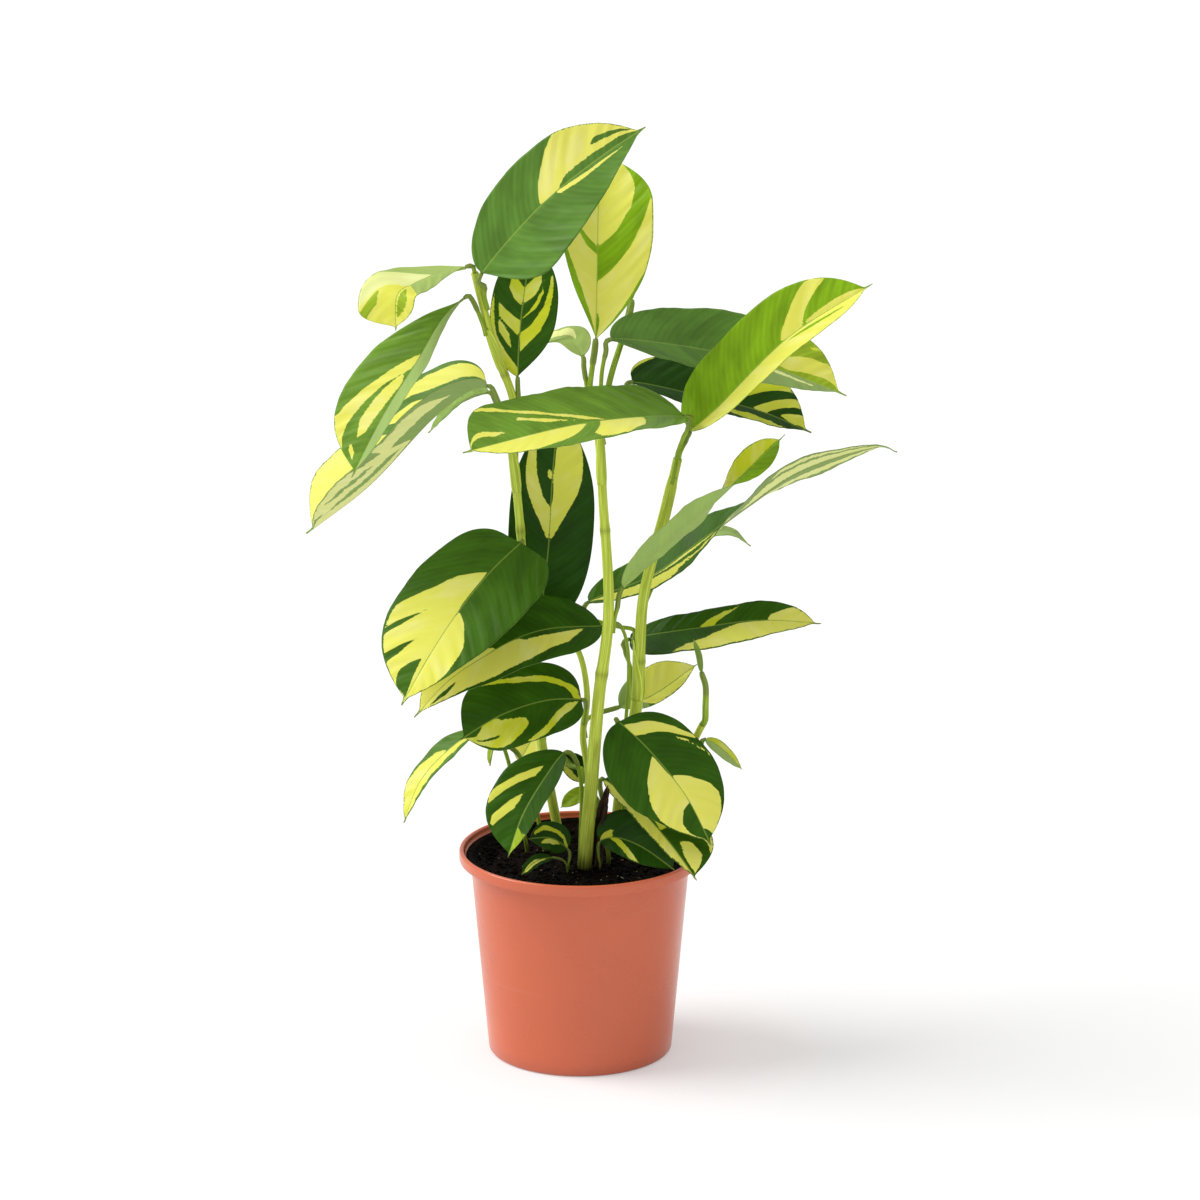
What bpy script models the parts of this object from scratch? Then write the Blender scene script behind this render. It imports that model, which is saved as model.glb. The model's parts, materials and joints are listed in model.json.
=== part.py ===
"""A potted ctenanthe: variegated leaves on slim canes that rise from a plastic nursery pot of soil.

Metres, +Z up. The origin is the centre of the pot's underside, and -Y is the plant's front.
Each leaf, cane, the soil and the pot is one object. The hand-placed points of the canes and
leaves below are in millimetres.
"""

import math
from typing import NamedTuple

import bmesh
import bpy
from mathutils import Vector

MM = 0.001
GAP = 0.0003  # clearance between two pieces that touch

POT_HEIGHT = 0.148
RIM_RADIUS = 0.085
NECK_RADIUS = 0.0778  # outer radius of the wall, where it would meet the pot's top
BASE_RADIUS = 0.0645
WALL = 0.0016
FLOOR = 0.0020
FOOT_ROUND = 0.003
SHOULDER = 0.140  # where the wall steps out to the rim
RIM_THICKNESS = 0.0034
EDGE = 0.0008
POT_SIDES = 48
DRAIN_HOLES = 8
DRAIN_RADIUS = 0.0045
DRAIN_RING = 0.046

SOIL_TOP = 0.136

CANE_SIDES = 8
CANE_STEP = 0.030
PETIOLE_RADIUS = 1.5 * MM
PETIOLE_STEP = 0.014
SHEATH_RUN = 0.010  # how far a petiole lies along its cane before it leaves it
PULVINUS_RUN = 0.011
PULVINUS_SWELL = 1.25
BLADE_THICKNESS = 0.8 * MM
TIP_HALF_WIDTH = 0.5 * MM
BLADE_STATIONS = (0.03, 0.10, 0.21, 0.34, 0.47, 0.60, 0.73, 0.85, 0.94, 1.0)
SMALL_BLADE_STATIONS = (0.05, 0.17, 0.36, 0.56, 0.76, 0.92, 1.0)
SMALL_BLADE = 0.075  # a blade shorter than this has the fewer stations
CURVE_STEPS = 12

GREEN = (0.06, 0.20, 0.03)
LIME = (0.34, 0.48, 0.05)
PALE = (0.62, 0.66, 0.12)
CANE_GREEN = (0.30, 0.45, 0.08)
TERRACOTTA = (0.55, 0.14, 0.075)
SOIL_BROWN = (0.012, 0.008, 0.006)


class Cane(NamedTuple):
    """A cane: its points from the soil up, and its radius at the foot and at the top, in mm."""

    name: str
    points: tuple
    foot: float
    top: float


class Leaf(NamedTuple):
    """A leaf with its petiole, as one piece. Lengths are in mm and angles in degrees.

    carrier is a cane's name with a height on it, "top" for the cane's cut end, or "soil" with a
    place on the soil. route has the petiole's points between there and the blade. midrib runs
    from the blade's base to its tip. halves and fold are the width of each half blade and how
    far it folds up towards the face: left and right, seen from the base with the face up. face
    is the way that the upper side looks at the base, and face_tip at the tip. widest is where
    along the blade each half is broadest, taper is how blunt each half's tip is (1.3 sharp, 5
    blunt), and base is how round the blade's base is (0.3 round, 1 pointed).
    """

    name: str
    carrier: tuple
    route: tuple
    midrib: tuple
    halves: tuple
    face: tuple
    face_tip: tuple = None
    fold: tuple = (10, 10)
    cup: float = 0.0
    widest: tuple = (0.48, 0.48)
    taper: tuple = (2.5, 2.5)
    base: float = 0.55
    colour: tuple = GREEN
    radius: float = PETIOLE_RADIUS / MM


CANES = (
    Cane(
        "cane_front",
        ((3, -10, 136), (7, -12, 187), (13, -14, 261), (20, -13, 326), (16, -8, 404), (13, -4, 448), (8, 0, 478)),
        5.2,
        2.6,
    ),
    Cane(
        "cane_left",
        ((-14, 43, 136), (-17, 42, 153), (-28, 40, 218), (-37, 36, 290), (-41, 30, 364), (-46, 24, 428),
         (-46, 20, 467), (-58, 14, 504), (-68, 8, 544), (-72, 5, 562)),
        3.6,
        2.6,
    ),
    Cane(
        "cane_right",
        ((27, 33, 136), (28, 33, 172), (40, 34, 244), (42, 34, 283), (45, 34, 325), (59, 31, 382), (68, 27, 424)),
        4.8,
        3.2,
    ),
    Cane(
        "cane_rear",
        ((8, 12, 136), (6, 13, 195), (2, 14, 226), (5, 15, 253), (1, 18, 281), (-9, 28, 298)),
        2.8,
        1.9,
    ),
    Cane(
        "cane_side",
        ((43, 46, 136), (50, 46, 160), (72, 34, 200), (86, 18, 233)),
        2.8,
        2.4,
    ),
)

LEAVES = (
    # The crown of the left cane.
    Leaf("leaf_crown", ("cane_left", 535), ((-65, 1, 553),),
         ((-67, -1, 563), (-26, -6, 612), (14, 4, 643), (45, 15, 662)),
         (33, 40), (-0.35, -0.85, 0.40), fold=(8, 4), cup=2, widest=(0.55, 0.32), taper=(2.5, 1.5)),
    Leaf("leaf_crown_small", ("cane_left", "top"), ((-76, 3, 569),),
         ((-82, 0, 570), (-97, -15, 568), (-116, -38, 564), (-121, -54, 532)),
         (16, 28), (0.30, 0.05, 1.00), (-0.15, -0.95, 0.30), fold=(4, 0), widest=(0.60, 0.65), colour=LIME),
    Leaf("leaf_left_hanging", ("cane_left", 515), ((-74, 2, 542), (-84, -6, 540)),
         ((-95, -13, 528), (-105, -20, 505), (-124, -31, 473), (-156, -45, 433)),
         (22, 43), (-0.40, -0.75, 0.50), fold=(60, 4), colour=GREEN),
    Leaf("leaf_left_long", ("cane_left", 434), ((-57, 11, 471), (-65, 7, 482)),
         ((-70, 6, 480), (-105, 9, 456), (-145, 8, 411), (-190, 6, 379)),
         (30, 46), (-0.55, 0.10, 0.80), fold=(50, 42), widest=(0.60, 0.58), taper=(3.5, 3), colour=LIME),
    Leaf("leaf_left_tip", ("cane_left", 440), ((-58, 28, 464),),
         ((-64, 34, 470), (-86, 46, 460), (-106, 52, 436)),
         (10, 10), (-0.30, -0.30, 0.90), colour=PALE),
    Leaf("leaf_chevron", ("cane_left", 430), ((-42, 19, 462),),
         ((-43, 22, 484), (-41, 30, 520), (-36, 38, 556), (-31, 42, 581)),
         (22, 26), (0.05, -0.97, 0.20), fold=(6, 14), base=0.75, colour=LIME),
    # The crown of the front cane.
    Leaf("leaf_shoulder_small", ("cane_front", 462), ((3, 5, 494),),
         ((2, 10, 502), (-7, 26, 510), (-20, 42, 505), (-36, 54, 494)),
         (9, 9), (-0.20, -0.20, 0.95), colour=GREEN),
    Leaf("leaf_crown_yellow", ("cane_front", "top"), ((9, 4, 498),),
         ((11, 10, 514), (12, 24, 555), (13, 42, 600), (16, 58, 637)),
         (26, 39), (0.05, -0.95, 0.30), fold=(40, 4), cup=2, widest=(0.62, 0.62), base=0.9, colour=PALE, radius=1.9),
    Leaf("leaf_right_dark", ("cane_front", 455), ((15, 0, 490), (18, 3, 506)),
         ((22, 9, 514), (60, 31, 504), (102, 49, 492), (143, 52, 479), (182, 47, 464)),
         (32, 19), (0.05, -0.40, 0.92), (0.25, -0.55, 0.80), fold=(18, 4), widest=(0.60, 0.50)),
    Leaf("leaf_right_shaded", ("cane_front", 440), ((26, 12, 462), (33, 30, 467)),
         ((37, 46, 471), (84, 58, 459), (126, 62, 448), (161, 60, 434)),
         (26, 23), (0.05, -0.35, 0.92), fold=(14, 10), widest=(0.55, 0.50)),
    Leaf("leaf_upper_spear", ("cane_front", 425), ((15, 13, 450), (21, 23, 482), (31, 38, 512)),
         ((36, 50, 532), (38, 62, 556), (34, 74, 590)),
         (4.5, 4.5), (0.10, -0.95, 0.20), fold=(50, 50), colour=CANE_GREEN, radius=2.2),
    # The crown of the right cane.
    Leaf("leaf_right_bright", ("cane_right", "top"), ((72, 24, 436),),
         ((76, 14, 447), (95, 3, 467), (143, -3, 518), (201, 2, 555)),
         (35, 32), (-0.35, -0.85, 0.35), fold=(4, 55), widest=(0.30, 0.50), taper=(1.9, 2.5), base=0.35,
         colour=LIME, radius=2.4),
    Leaf("leaf_middle_broad", ("cane_right", 405), ((69, 12, 436), (76, 4, 456)),
         ((72, -2, 464), (42, -22, 475), (0, -46, 477), (-41, -66, 471), (-78, -84, 459)),
         (34, 34), (0.00, -0.34, 0.95), (-0.15, -0.50, 0.85), fold=(6, 12), widest=(0.60, 0.32), taper=(2.5, 5)),
    # Halfway up.
    Leaf("leaf_upright_dark", ("cane_rear", "top"), ((-18, 34, 309),),
         ((-25, 38, 317), (-22, 44, 357), (-19, 51, 408), (-14, 58, 456)),
         (31, 34), (0.02, -0.98, 0.15), fold=(4, 6), base=0.4, radius=1.9),
    Leaf("leaf_front_left", ("cane_left", 345), ((-45, 19, 366),),
         ((-46, 12, 372), (-62, -4, 352), (-83, -22, 329), (-102, -39, 304), (-123, -55, 270)),
         (38, 41), (-0.30, -0.80, 0.52), fold=(6, 2), cup=-3, widest=(0.30, 0.50), taper=(2, 2.5), base=0.35),
    Leaf("leaf_right_pale_back", ("cane_front", 305), ((26, -8, 326),),
         ((30, -6, 341), (52, -8, 367), (90, -4, 399), (143, 10, 446)),
         (20, 22), (-0.45, 0.70, 0.55), (-0.60, -0.10, 0.80), fold=(14, 14), widest=(0.4, 0.4), colour=PALE),
    Leaf("leaf_right_narrow", ("cane_right", 285), ((26, 45, 297), (8, 45, 303)),
         ((6, 48, 314), (50, 59, 330), (80, 56, 353), (118, 47, 385), (155, 42, 410), (205, 36, 430), (221, 34, 427)),
         (23, 20), (-0.25, -0.45, 0.85), fold=(14, 34), widest=(0.32, 0.30)),
    Leaf("leaf_right_behind", ("cane_right", 300), ((53, 60, 326),),
         ((60, 73, 334), (85, 83, 352), (106, 87, 354), (121, 90, 343)),
         (8, 8), (0.0, -0.3, 0.95), colour=PALE),
    Leaf("leaf_low_left_long", ("cane_right", 205), ((34, 27, 262), (33, 24, 290), (27, 16, 307)),
         ((15, 9, 311), (-18, -5, 302), (-62, -18, 281), (-115, -32, 256)),
         (24, 34), (-0.05, -0.60, 0.80), fold=(24, 6), widest=(0.25, 0.42), taper=(1.5, 2.5), radius=1.3),
    Leaf("leaf_right_low", ("cane_right", 225), ((36, 50, 262), (32, 61, 274)),
         ((35, 64, 282), (84, 48, 295), (126, 36, 304), (168, 26, 307)),
         (23, 27), (-0.05, -0.50, 0.86), fold=(10, 10), widest=(0.40, 0.35), base=0.4),
    # Low in the plant.
    Leaf("leaf_right_pale", ("cane_rear", 222), ((10, 32, 236),),
         ((16, 42, 242), (49, 58, 247), (83, 72, 261)),
         (12, 12), (0.0, -0.7, 0.7), colour=PALE),
    Leaf("leaf_low_left_round", ("cane_rear", 235), ((4, 5, 252),),
         ((0, 0, 257), (-22, -12, 264), (-52, -26, 257), (-84, -36, 235)),
         (26, 28), (-0.05, -0.72, 0.70), fold=(10, 6)),
    Leaf("leaf_low_left_pale", ("cane_left", 205), ((-32, 48, 224),),
         ((-36, 52, 230), (-45, 55, 221), (-53, 56, 200)),
         (13, 13), (-0.2, -0.8, 0.5), colour=PALE),
    Leaf("leaf_low_left_narrow", ("soil", (-38, 24)), ((-46, 20, 185), (-56, 14, 222)),
         ((-74, 8, 229), (-92, 4, 218), (-110, 0, 196), (-122, -5, 169)),
         (13, 11), (-0.60, -0.50, 0.60), colour=PALE),
    Leaf("leaf_curl", ("soil", (-26, 28)), ((-40, 32, 200),),
         ((-57, 30, 216), (-62, 28, 212), (-64, 26, 200)),
         (5, 5), (-0.7, -0.2, 0.6), colour=LIME),
    Leaf("leaf_pot_left", ("soil", (-5, 1)), ((-5, -2, 200), (-7, -6, 218)),
         ((-11, -10, 221), (-25, -19, 205), (-40, -31, 182), (-50, -45, 156)),
         (19, 29), (-0.30, -0.80, 0.50), fold=(36, 4)),
    Leaf("leaf_pot_right", ("soil", (30, 20)), ((31, 20, 190), (27, 8, 234)),
         ((27, -4, 242), (49, -22, 226), (74, -44, 200), (91, -66, 172)),
         (34, 40), (0.30, -0.78, 0.58), fold=(8, 4), cup=-2, widest=(0.42, 0.45)),
    Leaf("leaf_rim_right", ("soil", (20, -2)), ((16, 2, 180), (14, 6, 192)),
         ((17, 4, 197), (38, -16, 186), (62, -44, 167), (81, -68, 147)),
         (26, 15), (0.40, -0.60, 0.70), fold=(20, 4), widest=(0.60, 0.45)),
    Leaf("leaf_soil_right", ("soil", (14, -14)), ((16, -13, 147),),
         ((20, -14, 155), (36, -22, 158), (50, -32, 154), (62, -42, 149)),
         (19, 19), (0.10, -0.75, 0.65)),
    Leaf("leaf_behind_upper", ("cane_rear", 188), ((-7, 21, 202),),
         ((-11, 25, 208), (-2, 30, 197), (7, 32, 186)),
         (9, 9), (-0.2, -0.9, 0.4)),
    Leaf("leaf_behind_lower", ("cane_rear", 154), ((13, 19, 174),),
         ((9, 21, 180), (-1, 22, 180), (-14, 20, 171)),
         (6, 6), (-0.1, -0.8, 0.6), colour=LIME),
    Leaf("leaf_right_spear", ("cane_side", "top"), ((88, 14, 247), (88, 11, 263)),
         ((85, 10, 274), (83, 11, 287), (79, 12, 298)),
         (3.5, 3.5), (0.0, -1.0, 0.1), fold=(50, 50), colour=CANE_GREEN, radius=2.4),
    Leaf("leaf_right_small", ("cane_side", 200), ((84, 18, 217),),
         ((89, 15, 219), (100, 12, 216), (114, 4, 204)),
         (13, 14), (0.5, 0.6, 0.7), colour=CANE_GREEN),
    Leaf("leaf_soil_left", ("soil", (-8, -14)), ((-7, -12, 146),),
         ((-9, -11, 151), (-20, -15, 160), (-36, -22, 162)),
         (13, 13), (-0.1, -0.8, 0.6)),
    Leaf("leaf_soil_narrow", ("soil", (-9, -22)), ((-12, -22, 146),),
         ((-20, -25, 149), (-31, -34, 149), (-41, -46, 143)),
         (7, 7), (-0.3, -0.7, 0.7), colour=LIME),
)


def clear_scene():
    """Remove every object that the scene holds."""
    for obj in list(bpy.data.objects):
        bpy.data.objects.remove(obj, do_unlink=True)


def make_material(name, colour, roughness):
    """A plain Principled material."""
    material = bpy.data.materials.new(name)
    material.use_nodes = True
    shader = material.node_tree.nodes["Principled BSDF"]
    shader.inputs["Base Color"].default_value = (*colour, 1.0)
    shader.inputs["Roughness"].default_value = roughness
    shader.inputs["Metallic"].default_value = 0.0
    return material


def add_object(name, points, faces, material, sharp_degrees=40.0):
    """Make a closed smooth-shaded mesh object from points and faces, with its normals outward."""
    mesh = bpy.data.meshes.new(name)
    mesh.from_pydata([tuple(point) for point in points], [], faces)
    shape = bmesh.new()
    shape.from_mesh(mesh)
    bmesh.ops.recalc_face_normals(shape, faces=shape.faces)
    shape.to_mesh(mesh)
    shape.free()
    mesh.shade_smooth()
    mesh.set_sharp_from_angle(angle=math.radians(sharp_degrees))
    mesh.materials.append(material)
    obj = bpy.data.objects.new(name, mesh)
    bpy.context.scene.collection.objects.link(obj)
    return obj


def skin(rings):
    """Points and faces of a closed body through rings of equal point count, capped at both ends.

    Each four-sided face is split along a diagonal, and the diagonals of the second half of a ring
    mirror those of the first, so the two sides of a thin twisted blade stay parallel.
    """
    count = len(rings[0])
    points = [point for ring in rings for point in ring]
    faces = [tuple(reversed(range(count)))]
    for row in range(len(rings) - 1):
        for i in range(count):
            j = (i + 1) % count
            a = row * count
            b = a + count
            if i < count // 2:
                faces += [(a + i, a + j, b + j), (a + i, b + j, b + i)]
            else:
                faces += [(a + i, a + j, b + i), (a + j, b + j, b + i)]
    last = (len(rings) - 1) * count
    faces.append(tuple(range(last, last + count)))
    return points, faces


def smooth_path(points, steps=CURVE_STEPS):
    """A Catmull-Rom curve through the points, as a dense list of points."""
    ends = [points[0] * 2 - points[1], *points, points[-1] * 2 - points[-2]]
    path = []
    for p0, p1, p2, p3 in zip(ends, ends[1:], ends[2:], ends[3:]):
        for k in range(steps):
            t = k / steps
            path.append(
                0.5 * (2 * p1 + (p2 - p0) * t + (2 * p0 - 5 * p1 + 4 * p2 - p3) * t**2
                       + (3 * p1 - p0 - 3 * p2 + p3) * t**3)
            )
    path.append(points[-1].copy())
    return path


def run_lengths(path):
    """The length along the path at each of its points."""
    runs = [0.0]
    for a, b in zip(path, path[1:]):
        runs.append(runs[-1] + (b - a).length)
    return runs


def at_length(path, runs, length):
    """(point, direction) at a length along the path."""
    length = min(max(length, 0.0), runs[-1])
    k = max(1, next((i for i, run in enumerate(runs) if run >= length), len(runs) - 1))
    share = (length - runs[k - 1]) / max(runs[k] - runs[k - 1], 1e-9)
    before = path[max(k - 2, 0)]
    after = path[min(k + 1, len(path) - 1)]
    return path[k - 1].lerp(path[k], share), (after - before).normalized()


def round_ring(centre, side, up, radius, sides):
    """A ring of points, from the -side point over the up point to the side point and back."""
    ring = []
    for k in range(sides):
        angle = math.pi - 2 * math.pi * k / sides
        ring.append(centre + side * (radius * math.cos(angle)) + up * (radius * math.sin(angle)))
    return ring


def lathe(name, profile, material, sharp_degrees=40.0):
    """A turned body from a profile of (radius, height) that starts and ends on the axis."""
    points = []
    rows = []
    for radius, height in profile:
        if radius == 0.0:
            rows.append([len(points)] * POT_SIDES)
            points.append(Vector((0.0, 0.0, height)))
            continue
        rows.append(list(range(len(points), len(points) + POT_SIDES)))
        for k in range(POT_SIDES):
            angle = 2 * math.pi * k / POT_SIDES
            points.append(Vector((radius * math.cos(angle), radius * math.sin(angle), height)))
    faces = []
    for low, high in zip(rows, rows[1:]):
        for i in range(POT_SIDES):
            j = (i + 1) % POT_SIDES
            corners = (low[i], low[j], high[j], high[i])
            faces.append(tuple(dict.fromkeys(corners)))
    return add_object(name, points, faces, material, sharp_degrees)


def wall_radius(height):
    """The outer radius of the pot's tapered wall at a height."""
    return BASE_RADIUS + (NECK_RADIUS - BASE_RADIUS) * height / POT_HEIGHT


def pot_profile():
    """The pot's section: floor, tapered wall and a wider rim that stands on a small shoulder."""
    profile = [(0.0, 0.0), (BASE_RADIUS - FOOT_ROUND, 0.0)]
    for degrees in (35, 65, 90):
        turn = math.radians(degrees)
        profile.append(
            (wall_radius(FOOT_ROUND) - FOOT_ROUND * (1 - math.sin(turn)), FOOT_ROUND * (1 - math.cos(turn)))
        )
    profile += [(wall_radius(SHOULDER), SHOULDER), (RIM_RADIUS - EDGE, SHOULDER), (RIM_RADIUS, SHOULDER + EDGE)]
    bead = RIM_THICKNESS / 2
    for degrees in (0, 30, 60, 90, 120, 150, 180):
        turn = math.radians(degrees)
        profile.append(
            (RIM_RADIUS - bead + bead * math.cos(turn), POT_HEIGHT - bead + bead * math.sin(turn))
        )
    profile += [(RIM_RADIUS - RIM_THICKNESS, SHOULDER + 3 * EDGE), (wall_radius(SHOULDER) - WALL, SHOULDER)]
    profile += [(wall_radius(FLOOR) - WALL, FLOOR), (0.0, FLOOR)]
    return profile


def make_pot():
    """The nursery pot, with drain holes around its floor."""
    pot = lathe("pot", pot_profile(), make_material("pot_plastic", TERRACOTTA, 0.38))
    cutter = bpy.data.meshes.new("drain_cutter")
    shape = bmesh.new()
    for k in range(DRAIN_HOLES):
        angle = 2 * math.pi * (k + 0.5) / DRAIN_HOLES
        made = bmesh.ops.create_cone(
            shape, cap_ends=True, segments=12, radius1=DRAIN_RADIUS, radius2=DRAIN_RADIUS, depth=4 * FLOOR
        )
        place = Vector((DRAIN_RING * math.cos(angle), DRAIN_RING * math.sin(angle), 0.0))
        bmesh.ops.translate(shape, verts=made["verts"], vec=place)
    shape.to_mesh(cutter)
    shape.free()
    drains = bpy.data.objects.new("drain_cutter", cutter)
    bpy.context.scene.collection.objects.link(drains)
    drains.hide_render = True
    drains.display_type = "WIRE"
    cut = pot.modifiers.new("drain_holes", "BOOLEAN")
    cut.operation = "DIFFERENCE"
    cut.solver = "EXACT"
    cut.object = drains
    return pot


def make_soil():
    """The potting soil, a tapered plug that fills the pot to below its rim."""
    inset = WALL + GAP
    profile = [
        (0.0, FLOOR + GAP),
        (wall_radius(FLOOR) - inset - GAP, FLOOR + GAP),
        (wall_radius(SOIL_TOP) - inset, SOIL_TOP),
        (0.0, SOIL_TOP),
    ]
    return lathe("potting_soil", profile, make_material("potting_soil", SOIL_BROWN, 0.95))


def cane_path(cane):
    """A cane's dense path and the length along it at each point. Its foot stands on the soil."""
    points = [Vector(point) * MM for point in cane.points]
    points[0].z = SOIL_TOP + GAP
    path = smooth_path(points)
    return path, run_lengths(path)


def cane_radius(cane, share):
    """The cane's radius at a share of its length."""
    return (cane.foot + (cane.top - cane.foot) * share) * MM


def make_cane(cane, material):
    """A tapered cane with eight sides, level where it stands on the soil."""
    path, runs = cane_path(cane)
    count = max(4, round(runs[-1] / CANE_STEP))
    rings = []
    side = Vector((1.0, 0.0, 0.0))
    for k in range(count + 1):
        share = k / count
        centre, direction = at_length(path, runs, share * runs[-1])
        if k == 0:
            direction = Vector((0.0, 0.0, 1.0))
        side = (side - direction * side.dot(direction)).normalized()
        rings.append(
            round_ring(centre, side, side.cross(direction), cane_radius(cane, share), CANE_SIDES)
        )
    points, faces = skin(rings)
    return add_object(cane.name, points, faces, material)


def petiole_foot(leaf, first):
    """The first two points of a petiole: where it starts, and a point straight on from there."""
    carrier, place = leaf.carrier
    radius = leaf.radius * MM
    if carrier == "soil":
        foot = Vector((place[0] * MM, place[1] * MM, SOIL_TOP + GAP))
        return [foot, foot + Vector((0.0, 0.0, SHEATH_RUN / 2))]
    cane = next(cane for cane in CANES if cane.name == carrier)
    path, runs = cane_path(cane)
    if place == "top":
        centre, direction = at_length(path, runs, runs[-1])
        foot = centre + direction * GAP
        return [foot, foot + direction * (SHEATH_RUN / 2)]
    k = next(i for i, point in enumerate(path) if point.z >= place * MM)
    centre, direction = at_length(path, runs, runs[k])
    outward = first - centre
    outward = (outward - direction * outward.dot(direction)).normalized()
    foot = centre + outward * (cane_radius(cane, runs[k] / runs[-1]) + radius + GAP)
    return [foot, foot + direction * SHEATH_RUN]


def blade_share(t, widest, taper, base):
    """A half blade's width as a share of its greatest, at t from base to tip."""
    if t < widest:
        return (1 - (1 - t / widest) ** 2.4) ** base
    return (1 - ((t - widest) / (1 - widest)) ** taper) ** 0.95


def blade_ring(centre, side, up, t, leaf):
    """Eight points around the blade's section: the upper side from left to right, then back."""
    thickness = BLADE_THICKNESS * (1.3 - 0.6 * t)
    ring = []
    for s, face in ((-1, 0), (-0.5, 1), (0, 1), (0.5, 1), (1, 0), (0.5, -1), (0, -1), (-0.5, -1)):
        share = blade_share(t, leaf.widest[s > 0], leaf.taper[s > 0], leaf.base)
        half = max(leaf.halves[s > 0] * MM * share, TIP_HALF_WIDTH)
        fold = math.radians(leaf.fold[s > 0])
        out = s * half * math.cos(fold)
        rise = abs(s) * half * math.sin(fold) + leaf.cup * MM * s * s * share
        ring.append(centre + side * out + up * (rise + face * thickness / 2))
    return ring


def make_leaf(leaf, material):
    """A leaf as one body: petiole, pulvinus and blade in one run of eight-point rings."""
    midrib = [Vector(point) * MM for point in leaf.midrib]
    route = [Vector(point) * MM for point in leaf.route]
    stem = petiole_foot(leaf, route[0]) + route
    path = smooth_path(stem + midrib)
    runs = run_lengths(path)
    base = runs[len(stem) * CURVE_STEPS]
    blade = runs[-1] - base
    stations = SMALL_BLADE_STATIONS if blade < SMALL_BLADE else BLADE_STATIONS
    start = Vector(leaf.face)
    end = Vector(leaf.face_tip or leaf.face)
    rings = []
    side = None
    for t in stations:
        centre, direction = at_length(path, runs, base + t * blade)
        face = start.lerp(end, t)
        up = (face - direction * face.dot(direction)).normalized()
        across = direction.cross(up)
        side = side or across
        rings.append(blade_ring(centre, across, up, t, leaf))
    steps = max(2, round(base / PETIOLE_STEP))
    for k in range(steps, -1, -1):
        length = base * k / steps
        centre, direction = at_length(path, runs, length)
        if k == 0 and leaf.carrier[0] == "soil":
            direction = Vector((0.0, 0.0, 1.0))
        side = (side - direction * side.dot(direction)).normalized()
        swell = PULVINUS_SWELL if 0 < base - length < PULVINUS_RUN else 1.0
        rings.insert(0, round_ring(centre, side, side.cross(direction), leaf.radius * MM * swell, 8))
    points, faces = skin(rings)
    return add_object(leaf.name, points, faces, material, sharp_degrees=75.0)


def main():
    """Build the pot, the soil, the canes and the leaves."""
    clear_scene()
    make_pot()
    make_soil()
    cane_material = make_material("cane_skin", CANE_GREEN, 0.45)
    for cane in CANES:
        make_cane(cane, cane_material)
    for leaf in LEAVES:
        make_leaf(leaf, make_material(leaf.name + "_skin", leaf.colour, 0.42))


main()
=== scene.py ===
"""Looks for a potted ctenanthe: variegated leaves on slim canes, in a plastic nursery pot of soil.

Every piece is built from named sizes in metres or millimetres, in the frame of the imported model,
and stands for one of its nodes. -Y is the plant's front.
"""
import json
import logging
import math
import random
from dataclasses import dataclass, field
from enum import Enum

import bmesh
import bpy
import numpy as np
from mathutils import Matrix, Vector, noise


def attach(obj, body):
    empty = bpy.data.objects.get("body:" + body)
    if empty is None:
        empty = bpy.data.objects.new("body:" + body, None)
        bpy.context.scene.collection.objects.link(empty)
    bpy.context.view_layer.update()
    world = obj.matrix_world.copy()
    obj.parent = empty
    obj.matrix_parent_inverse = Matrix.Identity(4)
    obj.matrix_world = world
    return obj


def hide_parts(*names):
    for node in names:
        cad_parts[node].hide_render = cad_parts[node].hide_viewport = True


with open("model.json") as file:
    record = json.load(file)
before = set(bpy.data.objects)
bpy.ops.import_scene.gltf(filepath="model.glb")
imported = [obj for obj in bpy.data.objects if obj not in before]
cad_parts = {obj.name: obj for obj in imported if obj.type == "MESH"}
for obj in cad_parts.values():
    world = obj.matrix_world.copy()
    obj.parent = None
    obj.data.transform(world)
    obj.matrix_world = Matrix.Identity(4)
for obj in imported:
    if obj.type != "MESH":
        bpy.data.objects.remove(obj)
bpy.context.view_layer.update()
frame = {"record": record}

log = logging.getLogger("ctenanthe")

Triple = tuple[float, float, float]
Pair = tuple[float, float]
Faces = list[tuple[int, ...]]
Array = np.ndarray
Material = bpy.types.Material
Piece = bpy.types.Object
Socket = bpy.types.NodeSocket

MM = 0.001
GAP = 0.0003
ROOT = "root"

POT_HEIGHT = 0.148
RIM_RADIUS = 0.085
NECK_RADIUS = 0.0778
BASE_RADIUS = 0.0645
WALL = 0.0016
FLOOR_THICKNESS = 0.0020
SHOULDER = 0.140
SOIL_TOP = 0.136

CURVE_STEPS = 12
SHEATH_RUN = 0.010
LEAF_SEED_STEP = 0.37
FAR = 1.0
MARK_RANGE = 0.012
FULL_TURN = 2 * math.pi


def linear(code: int) -> Triple:
    """A linear colour from a 0xRRGGBB screen colour.

    Args:
        code: the screen colour.

    Returns:
        Its red, green and blue in linear light.
    """
    shares = [((code >> shift) & 255) / 255 for shift in (16, 8, 0)]
    red, green, blue = [s / 12.92 if s <= 0.04045 else ((s + 0.055) / 1.055) ** 2.4 for s in shares]
    return red, green, blue


class Half(Enum):
    """A half of a blade, seen from its base with its upper side up."""

    LEFT = -1
    RIGHT = 1


class Tone(Enum):
    """What a patch paints on a blade."""

    YELLOW = "yellow"
    # LEMON paints the lime yellow, partly a real tint and partly painted shade on the yellow.
    LEMON = "lemon"
    LIME = "lime"
    GREEN = "green"
    # BLOOM lays the undersides' grey-green on a half; on upper halves seen at a grazing angle it is a painted
    # sheen.
    BLOOM = "bloom"


class Tissue(Enum):
    """The ground colours of the leaves, stalks and canes."""

    SHADE = 0x244A08
    DEEP = 0x305808
    DARK = 0x406814
    MID = 0x5A8230
    SPRING = 0x688E2C
    FRESH = 0x80AA18
    LIME = 0x93AE26
    YOUNG = 0x8CAA55
    CANE = 0xD2E45C
    STALK = 0x9EBC3E
    JOINT = 0x8AA04C


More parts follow.
